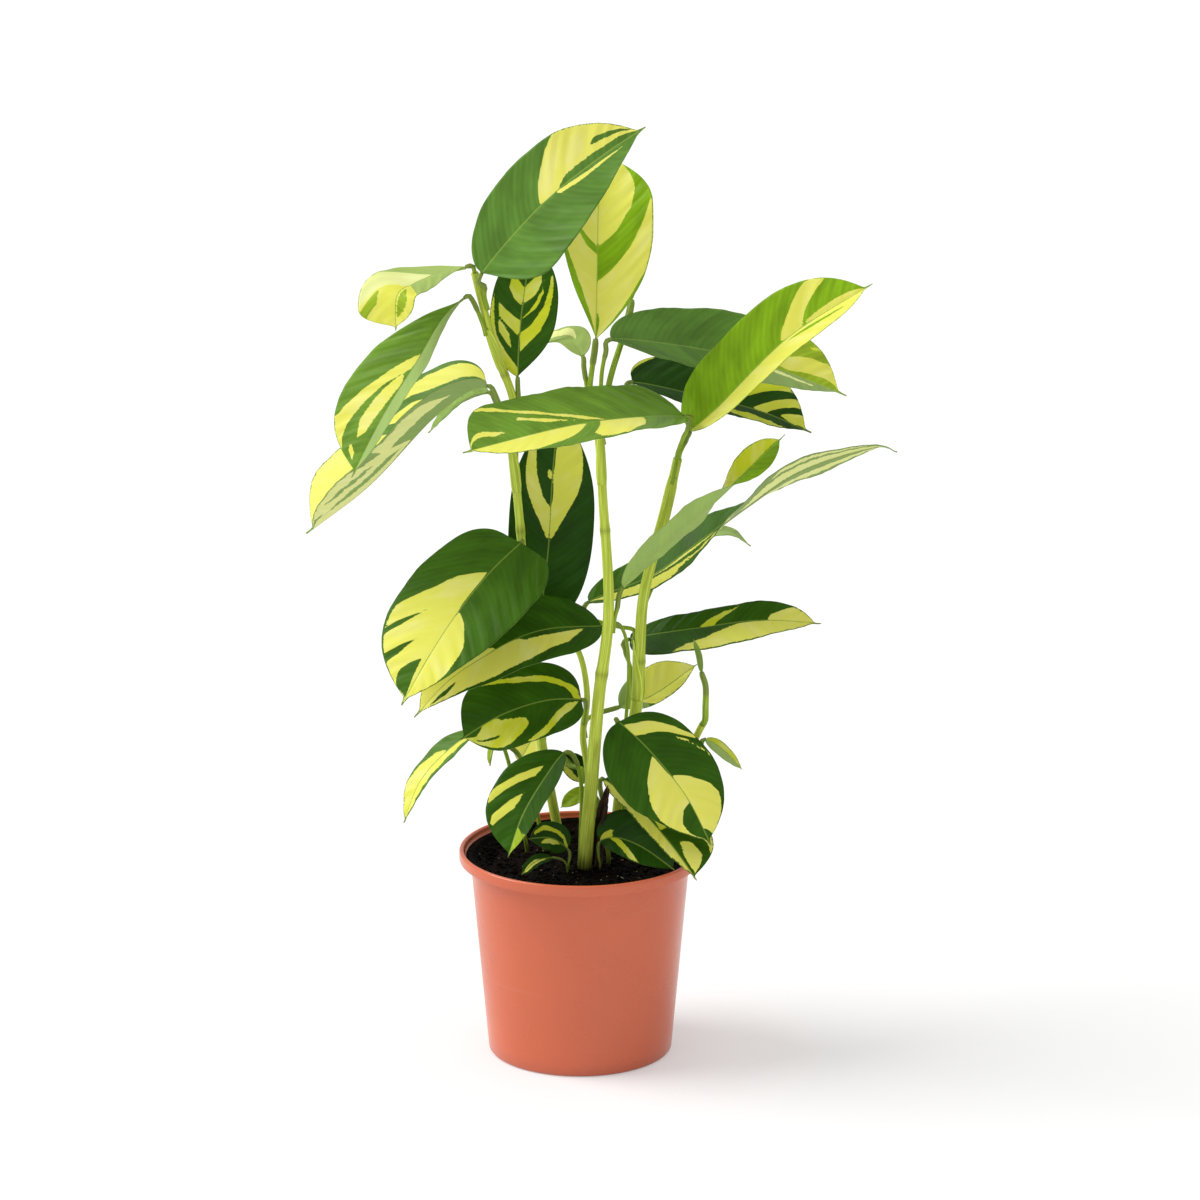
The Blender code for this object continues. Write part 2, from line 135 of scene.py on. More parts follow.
@dataclass(frozen=True)
class Track:
    """A smooth path through a few points, read by the length along it.

    Attributes:
        points: the dense points of the path, one row each.
        runs: the length along the path at each point.
        headings: the unit direction at each point.
    """

    points: Array
    runs: Array
    headings: Array

    @classmethod
    def through(cls, corners: list[Triple]) -> "Track":
        """Make the Catmull-Rom path through the corners.

        Args:
            corners: the points to pass, in metres.

        Returns:
            The path.
        """
        rows = np.array(corners, float)
        ends = np.vstack([rows[0] * 2 - rows[1], rows, rows[-1] * 2 - rows[-2]])
        steps = np.arange(CURVE_STEPS)[:, None] / CURVE_STEPS
        path = []
        for p0, p1, p2, p3 in zip(ends, ends[1:], ends[2:], ends[3:]):
            square = (2 * p0 - 5 * p1 + 4 * p2 - p3) * steps**2
            cube = (3 * p1 - p0 - 3 * p2 + p3) * steps**3
            path.append(0.5 * (2 * p1 + (p2 - p0) * steps + square + cube))
        points = np.vstack([*path, rows[-1:]])
        lengths = np.linalg.norm(np.diff(points, axis=0), axis=1)
        runs = np.concatenate([[0.0], np.cumsum(lengths)])
        headings = np.gradient(points, axis=0)
        return cls(points, runs, headings / np.linalg.norm(headings, axis=1)[:, None])

    @property
    def length(self) -> float:
        """The whole length of the path."""
        return float(self.runs[-1])

    def at(self, runs: Array) -> tuple[Array, Array]:
        """Read the path.

        Args:
            runs: lengths along the path.

        Returns:
            The points and the unit directions there, one row each.
        """
        places = np.stack([np.interp(runs, self.runs, self.points[:, k]) for k in range(3)], axis=1)
        turns = np.stack([np.interp(runs, self.runs, self.headings[:, k]) for k in range(3)], axis=1)
        return places, unit(turns)


def unit(rows: Array) -> Array:
    """Scale each row to length one.

    Args:
        rows: vectors, one row each.

    Returns:
        The unit vectors.
    """
    return rows / np.maximum(np.linalg.norm(rows, axis=-1, keepdims=True), 1e-12)


def fan(side: Array, heading: Array, angles: Array) -> Array:
    """The directions at some angles from a side, round a heading."""
    return np.cos(angles)[:, None] * side + np.sin(angles)[:, None] * np.cross(heading, side)


def smooth_step(low: float, high: float, value: Array) -> Array:
    """Rise smoothly from 0 at low to 1 at high.

    Args:
        low: where the rise starts.
        high: where it ends.
        value: what is read.

    Returns:
        The share, 0 to 1.
    """
    share = np.clip((value - low) / (high - low), 0.0, 1.0)
    return share * share * (3 - 2 * share)


@dataclass
class Shell:
    """Faces with painted points, gathered for one piece.

    Attributes:
        points: blocks of points, one row each.
        faces: the corner numbers of each face.
        tissue: for each point its ground colour and whether it is on a blade.
        marks: for each point how far it is inside yellow and lime patches, whether it is on the
        underside or has the underside's grey-green laid on its upper side as a painted sheen, and
        how lime its yellow is, which partly stands for painted shade on the yellow.
        spot: for each point its place along and across the blade, and along the side veins.
        count: how many points it has so far.
    """

    points: list[Array] = field(default_factory=list)
    faces: Faces = field(default_factory=list)
    tissue: list[Array] = field(default_factory=list)
    marks: list[Array] = field(default_factory=list)
    spot: list[Array] = field(default_factory=list)
    count: int = 0

    def add(self, points: Array, faces: Faces, tissue: Array,
            marks: Array, spot: Array) -> None:
        """Add a block of points with its faces.

        Args:
            points: the points, one row each.
            faces: faces by number within the block.
            tissue: four numbers a point.
            marks: four numbers a point.
            spot: three numbers a point.
        """
        self.faces += [tuple(corner + self.count for corner in face) for face in faces]
        self.points.append(points)
        self.tissue.append(tissue)
        self.marks.append(marks)
        self.spot.append(spot)
        self.count += len(points)

    def make(self, name: str, material: Material) -> Piece:
        """Make the piece's object.

        Args:
            name: the object's name.
            material: what covers it.

        Returns:
            The object, in the scene.
        """
        mesh = bpy.data.meshes.new(name)
        mesh.from_pydata(np.vstack(self.points).tolist(), [], self.faces)
        for label, kind, key, rows in (
            ("tissue", "FLOAT_COLOR", "color", self.tissue),
            ("marks", "FLOAT_COLOR", "color", self.marks),
            ("spot", "FLOAT_VECTOR", "vector", self.spot),
        ):
            layer = mesh.attributes.new(label, kind, "POINT")
            layer.data.foreach_set(key, np.vstack(rows).astype(np.float32).ravel())
        return finish_mesh(name, mesh, material)


def finish_mesh(name: str, mesh: bpy.types.Mesh, material: Material) -> Piece:
    """Turn a mesh's faces outward, shade it smooth and put it in the scene.

    Args:
        name: the object's name.
        mesh: its mesh.
        material: what covers it.

    Returns:
        The object.
    """
    shape = bmesh.new()
    shape.from_mesh(mesh)
    bmesh.ops.recalc_face_normals(shape, faces=shape.faces)
    for face in shape.faces:
        face.smooth = True
    shape.to_mesh(mesh)
    shape.free()
    mesh.materials.append(material)
    piece = bpy.data.objects.new(name, mesh)
    bpy.context.scene.collection.objects.link(piece)
    return piece


def strip_faces(rows: int, columns: int, closed: bool = False, start: int = 0) -> Faces:
    """Number the four-sided faces of a grid of points.

    Args:
        rows: how many rows of points there are.
        columns: how many points each row has.
        closed: whether each row joins up with its own start.
        start: the number of the first point.

    Returns:
        The faces.
    """
    faces = []
    spans = columns if closed else columns - 1
    for i in range(rows - 1):
        for j in range(spans):
            low = start + i * columns
            after = (j + 1) % columns
            faces.append((low + j, low + after, low + columns + after, low + columns + j))
    return faces


def tube(track: Track, runs: Array, radii: Array, sides: int,
         side: Array) -> tuple[Array, Faces]:
    """A capped round tube along a path.

    Args:
        track: the path.
        runs: the lengths along it that have a ring.
        radii: each ring's radius.
        sides: how many points a ring has.
        side: the direction of the first point of the first ring.

    Returns:
        The points and the faces.
    """
    places, headings = track.at(runs)
    angles = np.arange(sides) * FULL_TURN / sides
    rings = []
    for place, heading, radius in zip(places, headings, radii):
        side = unit(side - heading * np.dot(side, heading))
        rings.append(place + fan(side, heading, angles) * radius)
    faces = strip_faces(len(runs), sides, closed=True)
    last = (len(runs) - 1) * sides
    faces.append(tuple(range(sides))[::-1])
    faces.append(tuple(last + k for k in range(sides)))
    return np.vstack(rings), faces


@dataclass(frozen=True)
class Patch:
    """A marking on one half of a blade, drawn in the blade's own veins.

    Attributes:
        half: the half it is on.
        tone: what it paints.
        outline: its corners, each the share of the blade at which the side vein through it leaves
            the midrib, and how far out along that vein it lies as a share of the half's width.
    """

    half: Half
    tone: Tone
    outline: tuple[Pair, ...]

    def depth(self, vein: Array, out: Array, length: float, width: float) -> Array:
        """How far inside the patch each place is, in metres, and below zero outside it.

        Args:
            vein: the side vein that each place lies on, as a share of the blade.
            out: how far out each place is, as a share of the half's width.
            length: the blade's length.
            width: the half's width.

        Returns:
            The depths.
        """
        corners = np.array(self.outline) * (length, width)
        x, y = vein * length, out * width
        nearest = np.full(x.shape, FAR)
        inside = np.zeros(x.shape, bool)
        for (ax, ay), (bx, by) in zip(corners, np.roll(corners, -1, axis=0)):
            run = (bx - ax) ** 2 + (by - ay) ** 2
            share = np.clip(((x - ax) * (bx - ax) + (y - ay) * (by - ay)) / run, 0, 1)
            gap = np.hypot(x - ax - share * (bx - ax), y - ay - share * (by - ay))
            nearest = np.minimum(nearest, gap)
            if by != ay:
                crossed = (ay > y) != (by > y)
                inside ^= crossed & (x < ax + (y - ay) * (bx - ax) / (by - ay))
        return np.where(inside, nearest, -nearest)


@dataclass(frozen=True)
class Cane:
    """A cane: a jointed stem that rises from the soil.

    Attributes:
        name: its node.
        points: its course from the soil up, in mm.
        foot: its radius at the foot, in mm.
        top: its radius at the top, in mm.
        joints: the shares of its length at which it has a joint.
        sides: how many points a ring has.
        ring_step: the greatest distance between rings.
        swell: how much thicker a joint is, as a share.
        joint_reach: how far a joint's swelling reaches.
        scar: how much darker a joint's line is, as a share.
        scar_reach: how far that line reaches.
        foot_shade: how much darker the foot is, as a share.
        foot_reach: how far up that reaches.
    """

    name: str
    points: tuple[Triple, ...]
    foot: float
    top: float
    joints: tuple[float, ...] = ()
    sides: int = 28
    ring_step: float = 0.003
    swell: float = 0.13
    joint_reach: float = 0.0035
    scar: float = 0.35
    scar_reach: float = 0.0025
    foot_shade: float = 0.35
    foot_reach: float = 0.02

    def track(self) -> Track:
        """The cane's path, from just above the soil.

        Returns:
            The path.
        """
        corners = [(x * MM, y * MM, z * MM) for x, y, z in self.points]
        corners[0] = (corners[0][0], corners[0][1], SOIL_TOP + GAP)
        return Track.through(corners)

    def radius(self, share: float | Array) -> float | Array:
        """The radius at a share of the length, without its joints."""
        return (self.foot + (self.top - self.foot) * share) * MM

    def shell(self) -> Shell:
        """Build the ribbed stem with its swollen joints.

        Returns:
            The painted faces.
        """
        track = self.track()
        rows = max(24, round(track.length / self.ring_step))
        shares = np.linspace(0, 1, rows)
        radii = self.radius(shares)
        for joint in self.joints:
            near = np.exp(-(((shares - joint) * track.length / self.joint_reach) ** 2))
            radii = radii * (1 + self.swell * near)
        points, faces = tube(track, shares * track.length, radii, self.sides, np.array([1.0, 0.0, 0.0]))
        places, _ = track.at(shares * track.length)
        centres = np.repeat(places, self.sides, axis=0)
        angles = np.tile(np.arange(self.sides) * FULL_TURN / self.sides, rows)
        along = np.repeat(shares * track.length, self.sides)
        ribs = 0.012 * np.sin(9 * angles + 6 * along) + 0.010 * np.sin(14 * angles - 11 * along)
        points = centres + (points - centres) * (1 + ribs)[:, None]
        shell = Shell()
        ground = np.array(linear(Tissue.CANE.value))
        shade = np.ones(len(points))
        for joint in self.joints:
            shade = shade - self.scar * np.exp(-(((along - joint * track.length) / self.scar_reach) ** 2))
        shade = shade * (1 - self.foot_shade * np.exp(-along / self.foot_reach))
        tissue = np.column_stack([ground[None, :] * shade[:, None], np.zeros(len(points))])
        marks = np.zeros((len(points), 4))
        spot = np.column_stack([along, angles * 0.004, along])
        shell.add(points, faces, tissue, marks, spot)
        return shell


@dataclass(frozen=True)
class Habit:
    """The sizes that all leaves share, in metres unless they say otherwise.

    Attributes:
        row_step: the distance between rows along the blade.
        column_step: the distance between places across it.
        vein_pitch: how far apart the fine side veins lie.
        vein_height: how high they stand.
        vein_sweep: how far they lean towards the tip, as a share of their reach.
        rib_pitch: how far apart the broad ribs lie.
        rib_drift: the length over which that pitch comes and goes.
        short_wave: the length of the margin's short waves.
        long_wave: the length of its long waves.
        groove: how deep the midrib lies.
        groove_reach: how far its groove reaches to each side.
        slim: half the blade's thickness at its margin.
        stout: how much more that is at the midrib.
        drip_start: the share of the blade at which its drip tip begins.
        drip_width: how wide the drip tip is there, as a share of the blade.
        drip_end: how wide it is at its end, as a share of the blade.
        stalk_sides: how many points a ring of the stalk has.
        stalk_step: the greatest distance between its rings.
        joint_run: the length of its swollen joint.
        joint_rise: the length over which that swells.
        sheath_grid: how many rows and columns of points a sheath has.
        sheath_lip: how far it rises past the stalk's foot.
        sheath_wrap: half the angle that it wraps at its foot, in degrees.
        sheath_opening: how much less that is at its top, in degrees.
    """

    row_step: float = 0.0014
    column_step: float = 0.0016
    vein_pitch: float = 0.0052
    vein_height: float = 0.00011
    vein_sweep: float = 0.85
    rib_pitch: float = 0.0125
    rib_drift: float = 0.043
    short_wave: float = 0.034
    long_wave: float = 0.071
    groove: float = 0.00035
    groove_reach: float = 0.0011
    slim: float = 0.00022
    stout: float = 0.0002
    drip_start: float = 0.965
    drip_width: float = 0.075
    drip_end: float = 0.012
    stalk_sides: int = 14
    stalk_step: float = 0.0022
    joint_run: float = 0.016
    joint_rise: float = 0.003
    sheath_grid: tuple[int, int] = (22, 25)
    sheath_lip: float = 0.004
    sheath_wrap: float = 168
    sheath_opening: float = 118


HABIT = Habit()


@dataclass(frozen=True)
class Blade:
    """A blade's surface as rows from base to tip, each from the left margin to the right one.

    Attributes:
        length: the blade's length, in metres.
        along: each row's share of it.
        out: how far out each place is, as a share of its half's width there.
        right: whether it is on the right half.
        aside: its distance from the midrib, in metres.
        vein: where the side vein through it leaves the midrib, in metres from the base.
        middle: the places.
        ups: the way the upper side looks in each row.
    """

    length: float
    along: Array
    out: Array
    right: Array
    aside: Array
    vein: Array
    middle: Array
    ups: Array


@dataclass(frozen=True)
class Leaf:
    """A leaf with its stalk, swollen joint and blade.

    Attributes:
        name: its node.
        carrier: a cane's name with a height on it in mm, "top" for the cane's end, or "soil" with
            a place on the soil in mm.
        route: the stalk's points between there and the blade, in mm.
        midrib: the blade's course from base to tip, in mm.
        halves: the width of the left and right half, in mm.
        face: the way the upper side looks at the base.
        face_tip: the way it looks at the tip, when that differs.
        fold: how far each half folds up, in degrees.
        cup: how far the margins rise, in mm.
        widest: where along the blade each half is broadest.
        taper: how blunt each half's tip is, from 1.3 for sharp to 5 for blunt.
        base: how round the base of each half is, from 0.3 for round to 1 for pointed.
        radius: the stalk's radius, in mm.
        knee: how much thicker its joint below the blade is, as a share.
        turn: from where to where along it the blade turns to its tip's facing.
        hem: how far the yellow keeps from the blade's edge, in mm.
        ground: the colour of its green.
        ribs: how high its broad ribs rise, in mm.
        ripple: the height of the waves along its margin, in mm.
        sheath: the length of the sheath that wraps the cane below the stalk, in mm.
        gold_and_shade: how lime its yellow is, from 0 for pale butter yellow to 1 for lime; the lime yellow
            is
        partly a real tint and partly painted shade, a shaded copy of the yellow.
        patches: its markings, in the order they are painted.
    """

    name: str
    carrier: tuple[str, float | str | Pair]
    route: tuple[Triple, ...]
    midrib: tuple[Triple, ...]
    halves: Pair
    face: Triple
    face_tip: Triple | None = None
    fold: Pair = (10, 10)
    cup: float = 0.0
    widest: Pair = (0.48, 0.48)
    taper: Pair = (2.5, 2.5)
    base: Pair = (0.55, 0.55)
    radius: float = 1.5
    knee: float = 0.26
    turn: Pair = (0.0, 1.0)
    hem: float = 0.5
    ground: Tissue = Tissue.DARK
    ribs: float = 0.55
    ripple: float = 0.8
    sheath: float = 0.0
    gold_and_shade: float = 0.2
    patches: tuple[Patch, ...] = ()

    def foot(self, canes: dict[str, Cane]) -> list[Triple]:
        """The stalk's first two points: where it starts, and a point straight on from there.

        Args:
            canes: the canes by name.

        Returns:
            The two points, in metres.
        """
        carrier, place = self.carrier
        if carrier == "soil":
            x, y = place
            return [(x * MM, y * MM, SOIL_TOP + GAP), (x * MM, y * MM, SOIL_TOP + GAP + SHEATH_RUN / 2)]
        cane = canes[carrier]
        track = cane.track()
        run = track.length
        if place != "top":
            run = float(track.runs[int(np.argmax(track.points[:, 2] >= place * MM))])
        centres, headings = track.at(np.array([run]))
        centre, heading = centres[0], headings[0]
        if place == "top":
            start = centre + heading * GAP
            return [tuple(start), tuple(start + heading * (SHEATH_RUN / 2))]
        outward = np.array(self.route[0]) * MM - centre
        outward = unit(outward - heading * np.dot(outward, heading))
        start = centre + outward * (cane.radius(run / track.length) + self.radius * MM + GAP)
        return [tuple(start), tuple(start + heading * SHEATH_RUN)]

    def share(self, along: Array, half: Half) -> Array:
        """How wide a half blade is, as a share of its greatest width.

        Args:
            along: places from base to tip, 0 to 1.
            half: the half.

        Returns:
            The shares.
        """
        k = 0 if half is Half.LEFT else 1
        widest, taper = self.widest[k], self.taper[k]
        body = np.clip(along / HABIT.drip_start, 0, 1)
        below = (1 - np.clip(1 - body / widest, 0, 1) ** 2.4) ** self.base[k]
        above = (1 - np.clip((body - widest) / (1 - widest), 0, 1) ** taper) ** 0.95
        drip = HABIT.drip_width * (1 - smooth_step(0.90, 1.0, along)) + HABIT.drip_end
        return np.maximum(np.where(body < widest, below, above), np.where(along > widest, drip, 0.02))

    def form(self, track: Track, base: float, seed: float) -> Blade:
        """Work out the blade's surface: its folds, waves, quilting and groove.

        Args:
            track: the path of the stalk and midrib.
            base: how far along it the blade begins.
            seed: the leaf's own number, which sets its waves.

        Returns:
            The blade's surface.
        """
        length = track.length - base
        rows = int(np.clip(length / HABIT.row_step, 26, 110))
        reach = int(np.clip(max(self.halves) * MM / HABIT.column_step, 7, 24))
        even = np.linspace(0, 1, rows)
        along = 0.6 * even + 0.4 * (1 - np.cos(math.pi * even)) / 2
        centres, headings = track.at(base + along * length)
        start = np.array(self.face)
        end = np.array(self.face_tip or self.face)
        turned = np.clip((along - self.turn[0]) / (self.turn[1] - self.turn[0]), 0, 1)
        facing = start + (end - start) * turned[:, None]
        ups = unit(facing - headings * np.sum(facing * headings, axis=1)[:, None])
        across = np.cross(headings, ups)
        columns = np.linspace(-1, 1, 2 * reach + 1)[None, :]
        out = np.abs(columns) + 0 * along[:, None]
        rightward = columns + 0 * along[:, None] > 0
        right_share, left_share = [self.share(along, half)[:, None] for half in (Half.RIGHT, Half.LEFT)]
        shares = np.where(rightward, right_share, left_share)
        halves = np.where(rightward, self.halves[1], self.halves[0]) * MM * shares
        folds = np.radians(np.where(rightward, self.fold[1], self.fold[0]))
        aside = columns * halves * np.cos(folds)
        lift = (np.sqrt(out**2 + 0.003) - 0.055) * halves * np.sin(folds) + self.cup * MM * out**2 * shares
        vein = along[:, None] * length - HABIT.vein_sweep * halves * out**1.3
        quill = np.sin(vein * FULL_TURN / HABIT.vein_pitch + seed * 5)
        lift = lift + HABIT.vein_height * quill * np.clip(out * 4, 0, 1) * np.clip((1.05 - out) * 6, 0, 1)
        drift = 1.2 * np.sin(vein * FULL_TURN / HABIT.rib_drift + seed)
        broad = np.sin(vein * FULL_TURN / HABIT.rib_pitch + seed * 3 + drift)
        lift = lift + self.ribs * MM * broad * out * np.clip((1.1 - out) * 3, 0, 1)
        runs = along[:, None] * length
        wave = np.sin(runs / HABIT.short_wave * FULL_TURN + seed * 9 + columns * 1.3)
        slow = np.sin(runs / HABIT.long_wave * FULL_TURN + seed * 4 - columns * 0.9)
        calm = np.clip(np.minimum(along, 1 - along)[:, None] * 4, 0, 1)
        lift = lift + self.ripple * MM * (0.55 * wave + 0.8 * slow) * out**2.2 * calm
        lift = lift - HABIT.groove * np.exp(-((aside / HABIT.groove_reach) ** 2))
        middle = centres[:, None, :] + across[:, None, :] * aside[:, :, None]
        middle = middle + ups[:, None, :] * lift[:, :, None]
        return Blade(length, along, out, rightward, aside, vein, middle, ups)

    def blade(self, shell: Shell, track: Track, base: float, seed: float) -> None:
        """Build the blade as one closed thin sheet with its midrib and markings.

        Args:
            shell: what the blade is added to.
            track: the path of the stalk and midrib.
            base: how far along it the blade begins.
            seed: the leaf's own number, which sets its grain.
        """
        form = self.form(track, base, seed)
        slim = HABIT.slim + HABIT.stout * np.exp(-form.out * 5)
        rib = (self.radius * MM * 0.75) * (1 - form.along[:, None]) ** 0.8
        ridge = rib * np.exp(-((form.aside / np.maximum(rib * 0.9, 0.0004)) ** 2))
        top = form.middle + form.ups[:, None, :] * slim[:, :, None]
        under = form.middle - form.ups[:, None, :] * (slim + ridge)[:, :, None]
        yellow, lime, bloom, gold_and_shade = self.paint(form)
        rows, columns = form.out.shape
        ground = np.tile(np.array([*linear(self.ground.value), 1.0]), (rows * columns, 1))
        spot = np.stack([form.along[:, None] * form.length + 0 * form.out, form.aside,
                         form.vein + seed * LEAF_SEED_STEP], axis=-1)
        for sheet, side in ((top, 0.0), (under, 1.0)):
            marks = np.stack([
                np.clip(0.5 + yellow / MARK_RANGE, 0, 1),
                np.clip(0.5 + lime / MARK_RANGE, 0, 1),
                np.maximum(bloom, side),
                gold_and_shade,
            ], axis=-1)
            faces = strip_faces(rows, columns)
            if side:
                faces = [face[::-1] for face in faces] + self.rim_faces(rows, columns)
            shell.add(sheet.reshape(-1, 3), faces, ground, marks.reshape(-1, 4), spot.reshape(-1, 3))

    @staticmethod
    def rim_faces(rows: int, columns: int) -> Faces:
        """Join the upper sheet's edge to the lower's, which is numbered right after it.

        Args:
            rows: how many rows each sheet has.
            columns: how many points a row has.

        Returns:
            Faces numbered from the lower sheet's first point.
        """
        edge = list(range(columns))
        edge += [i * columns + columns - 1 for i in range(1, rows)]
        edge += [(rows - 1) * columns + j for j in range(columns - 2, -1, -1)]
        edge += [i * columns for i in range(rows - 2, 0, -1)]
        upper = -rows * columns
        return [(a, b, b + upper, a + upper) for a, b in zip(edge, edge[1:] + edge[:1])]

    def paint(self, form: Blade) -> tuple[Array, ...]:
        """Lay the patches on the blade.

        Args:
            form: the blade's surface.

        Returns:
            How deep each place is in yellow and in lime, in metres; how far it has the underside's
            grey-green, which on an upper side is a painted sheen; and how lime its yellow is, which
            partly stands for painted shade on the yellow.
        """
        yellow = np.full(form.out.shape, -FAR)
        lime = np.full(form.out.shape, -FAR)
        bloom = np.zeros(form.out.shape)
        gold_and_shade = np.full(form.out.shape, self.gold_and_shade)
        for patch in self.patches:
            width = self.halves[0 if patch.half is Half.LEFT else 1] * MM
            depth = patch.depth(form.vein / form.length, form.out, form.length, width)
            depth = np.where(form.right == (patch.half is Half.RIGHT), depth, -FAR)
            # LEMON patches take the lime yellow, partly a real tint and partly painted shade on the yellow.
            if patch.tone in (Tone.YELLOW, Tone.LEMON):
                yellow = np.maximum(yellow, depth)
                gold_and_shade = np.where(depth > -0.003, self.gold_and_shade if patch.tone is Tone.YELLOW else 0.9, gold_and_shade)
            elif patch.tone is Tone.LIME:
                lime = np.maximum(lime, depth)
            # BLOOM gives the upper side the underside's grey-green, partly as a painted sheen.
            elif patch.tone is Tone.BLOOM:
                bloom = np.maximum(bloom, smooth_step(-0.0005, 0.0005, depth))
            else:
                yellow = np.minimum(yellow, -depth)
                lime = np.minimum(lime, -depth)
        edge = np.abs(form.aside) / np.maximum(form.out, 0.1) * (1.0 - form.out)
        yellow = np.minimum(yellow, edge - self.hem * MM)
        return yellow, lime, bloom, gold_and_shade

    def stalk(self, shell: Shell, track: Track, base: float, seed: float) -> None:
        """Build the stalk, its swollen joint and the rib that it runs into under the blade.

        Args:
            shell: what the stalk is added to.
            track: the path of the stalk and midrib.
            base: how far along it the blade begins.
            seed: the leaf's own number, which sets its grain.
        """
        rows, sides = max(10, round(base / HABIT.stalk_step)), HABIT.stalk_sides
        runs = np.linspace(0, base, rows)
        radius = self.radius * MM
        joint = base - min(HABIT.joint_run, base * 0.45)
        swollen = smooth_step(joint - HABIT.joint_rise, joint, runs)
        radii = radius * (0.92 + 0.10 * (1 - runs / base) + self.knee * swollen)
        radii = radii * (1 - 0.25 * smooth_step(base - HABIT.joint_rise, base, runs))
        points, faces = tube(track, runs, radii, sides, np.array([0.6, 0.8, 0.05]))
        slender, plump = [np.array(linear(tissue.value)) for tissue in (Tissue.STALK, Tissue.JOINT)]
        mix = np.repeat(swollen, sides)[:, None]
        tissue = np.concatenate([slender * (1 - mix) + plump * mix, np.zeros((len(points), 1))], axis=1)
        angles = np.tile(np.arange(sides) * FULL_TURN / sides, rows)
        places = np.repeat(runs, sides)
        spot = np.column_stack([places, angles * 0.002, places + seed * LEAF_SEED_STEP])
        shell.add(points, faces, tissue, np.zeros((len(points), 4)), spot)

    def wrap(self, shell: Shell, canes: dict[str, Cane], seed: float) -> None:
        """Build the sheath that wraps the cane below the stalk.

        Args:
            shell: what the sheath is added to.
            canes: the canes by name.
            seed: the leaf's own number, which sets its grain.
        """
        if not self.sheath or self.carrier[0] == "soil":
            return
        cane = canes[self.carrier[0]]
        track = cane.track()
        foot = np.array(self.foot(canes)[0])
        top = float(track.runs[int(np.argmin(np.linalg.norm(track.points - foot, axis=1)))])
        rows, columns = HABIT.sheath_grid
        levels = np.linspace(0, 1, rows)
        runs = top + HABIT.sheath_lip - (1 - levels) * self.sheath * MM
        places, headings = track.at(np.maximum(runs, 0.002))
        outward = foot - track.at(np.array([top]))[0][0]
        opening = np.radians(HABIT.sheath_wrap - HABIT.sheath_opening * levels**1.6)
        sheet = []
        for place, heading, share, level in zip(places, headings, opening, levels):
            axis = unit(outward - heading * np.dot(outward, heading))
            angles = np.linspace(-share, share, columns)
            level_run = float(np.interp(level, [0, 1], [runs[0], runs[-1]]))
            clear = 0.0002 + 0.0005 * smooth_step(0.0, 0.12, np.array(level))
            radius = cane.radius(level_run / track.length) + clear
            bulge = (self.radius * 0.55 * MM) * level**2 * np.exp(-((angles / 0.7) ** 2))
            sheet.append(place + fan(axis, heading, angles) * (radius + bulge)[:, None])
        outer = np.array(sheet)
        inner = outer - (outer - places[:, None, :]) * 0.09
        count = rows * columns
        green = np.array(linear(Tissue.CANE.value))
        across = np.tile(np.linspace(-1, 1, columns), rows)
        down = np.repeat(runs, columns)
        lift = 0.92 + 0.5 * np.abs(across) ** 8
        tissue = np.column_stack([green[None, :] * lift[:, None], np.zeros(count)])
        spot = np.column_stack([down, across * 0.01, down + seed * LEAF_SEED_STEP])
        faces = strip_faces(rows, columns)
        shell.add(outer.reshape(-1, 3), faces, tissue, np.zeros((count, 4)), spot)
        back = [face[::-1] for face in faces] + self.rim_faces(rows, columns)
        shell.add(inner.reshape(-1, 3), back, tissue, np.zeros((count, 4)), spot)

    def course(self, canes: dict[str, Cane]) -> tuple[Track, float]:
        """The path of the stalk and midrib.

        Args:
            canes: the canes by name.

        Returns:
            The path, and how far along it the blade begins.
        """
        stem = self.foot(canes) + [(x * MM, y * MM, z * MM) for x, y, z in self.route]
        blade = [(x * MM, y * MM, z * MM) for x, y, z in self.midrib]
        track = Track.through(stem + blade)
        return track, float(track.runs[len(stem) * CURVE_STEPS])

    def shell(self, canes: dict[str, Cane], seed: float) -> Shell:
        """Build the whole leaf.

        Args:
            canes: the canes by name.
            seed: the leaf's own number, which sets its grain.

        Returns:
            The painted faces.
        """
        track, base = self.course(canes)
        shell = Shell()
        self.blade(shell, track, base, seed)
        self.stalk(shell, track, base, seed)
        self.wrap(shell, canes, seed)
        return shell


def left(tone: Tone, *outline: Pair) -> Patch:
    """A marking on the left half of a blade."""
    return Patch(Half.LEFT, tone, outline)


def right(tone: Tone, *outline: Pair) -> Patch:
    """A marking on the right half of a blade."""
    return Patch(Half.RIGHT, tone, outline)


YELLOW, LEMON, LIME, GREEN, BLOOM = Tone.YELLOW, Tone.LEMON, Tone.LIME, Tone.GREEN, Tone.BLOOM
WHOLE_HALF = ((-0.6, -0.1), (-0.6, 1.2), (1.1, 1.2), (1.1, -0.1))

CANES = (
    Cane("cane_front", ((3, -10, 136), (7, -12, 187), (13, -14, 261), (20, -13, 326), (16, -8, 404),
          (13, -4, 448), (8, 0, 478)), 5.2, 2.6, (0.42, 0.72, 0.97)),
    Cane("cane_left", ((-14, 43, 136), (-17, 42, 153), (-28, 40, 218), (-37, 36, 290), (-41, 30, 364),
          (-46, 24, 428), (-46, 20, 467), (-58, 14, 504), (-68, 8, 544), (-72, 5, 562)),
         3.6, 2.6, (0.30, 0.55, 0.68, 0.82)),
    Cane("cane_right", ((27, 33, 136), (28, 33, 172), (40, 34, 244), (42, 34, 283), (45, 34, 325),
          (59, 31, 382), (68, 27, 424)), 4.8, 3.2, (0.48, 0.93)),
    Cane("cane_rear", ((8, 12, 136), (6, 13, 195), (2, 14, 226), (5, 15, 253), (1, 18, 281), (-9, 28, 298)),
         2.8, 1.9, (0.6,)),
    Cane("cane_side", ((43, 46, 136), (50, 46, 160), (72, 34, 200), (86, 18, 233)), 2.8, 2.4, (0.3,)),
)

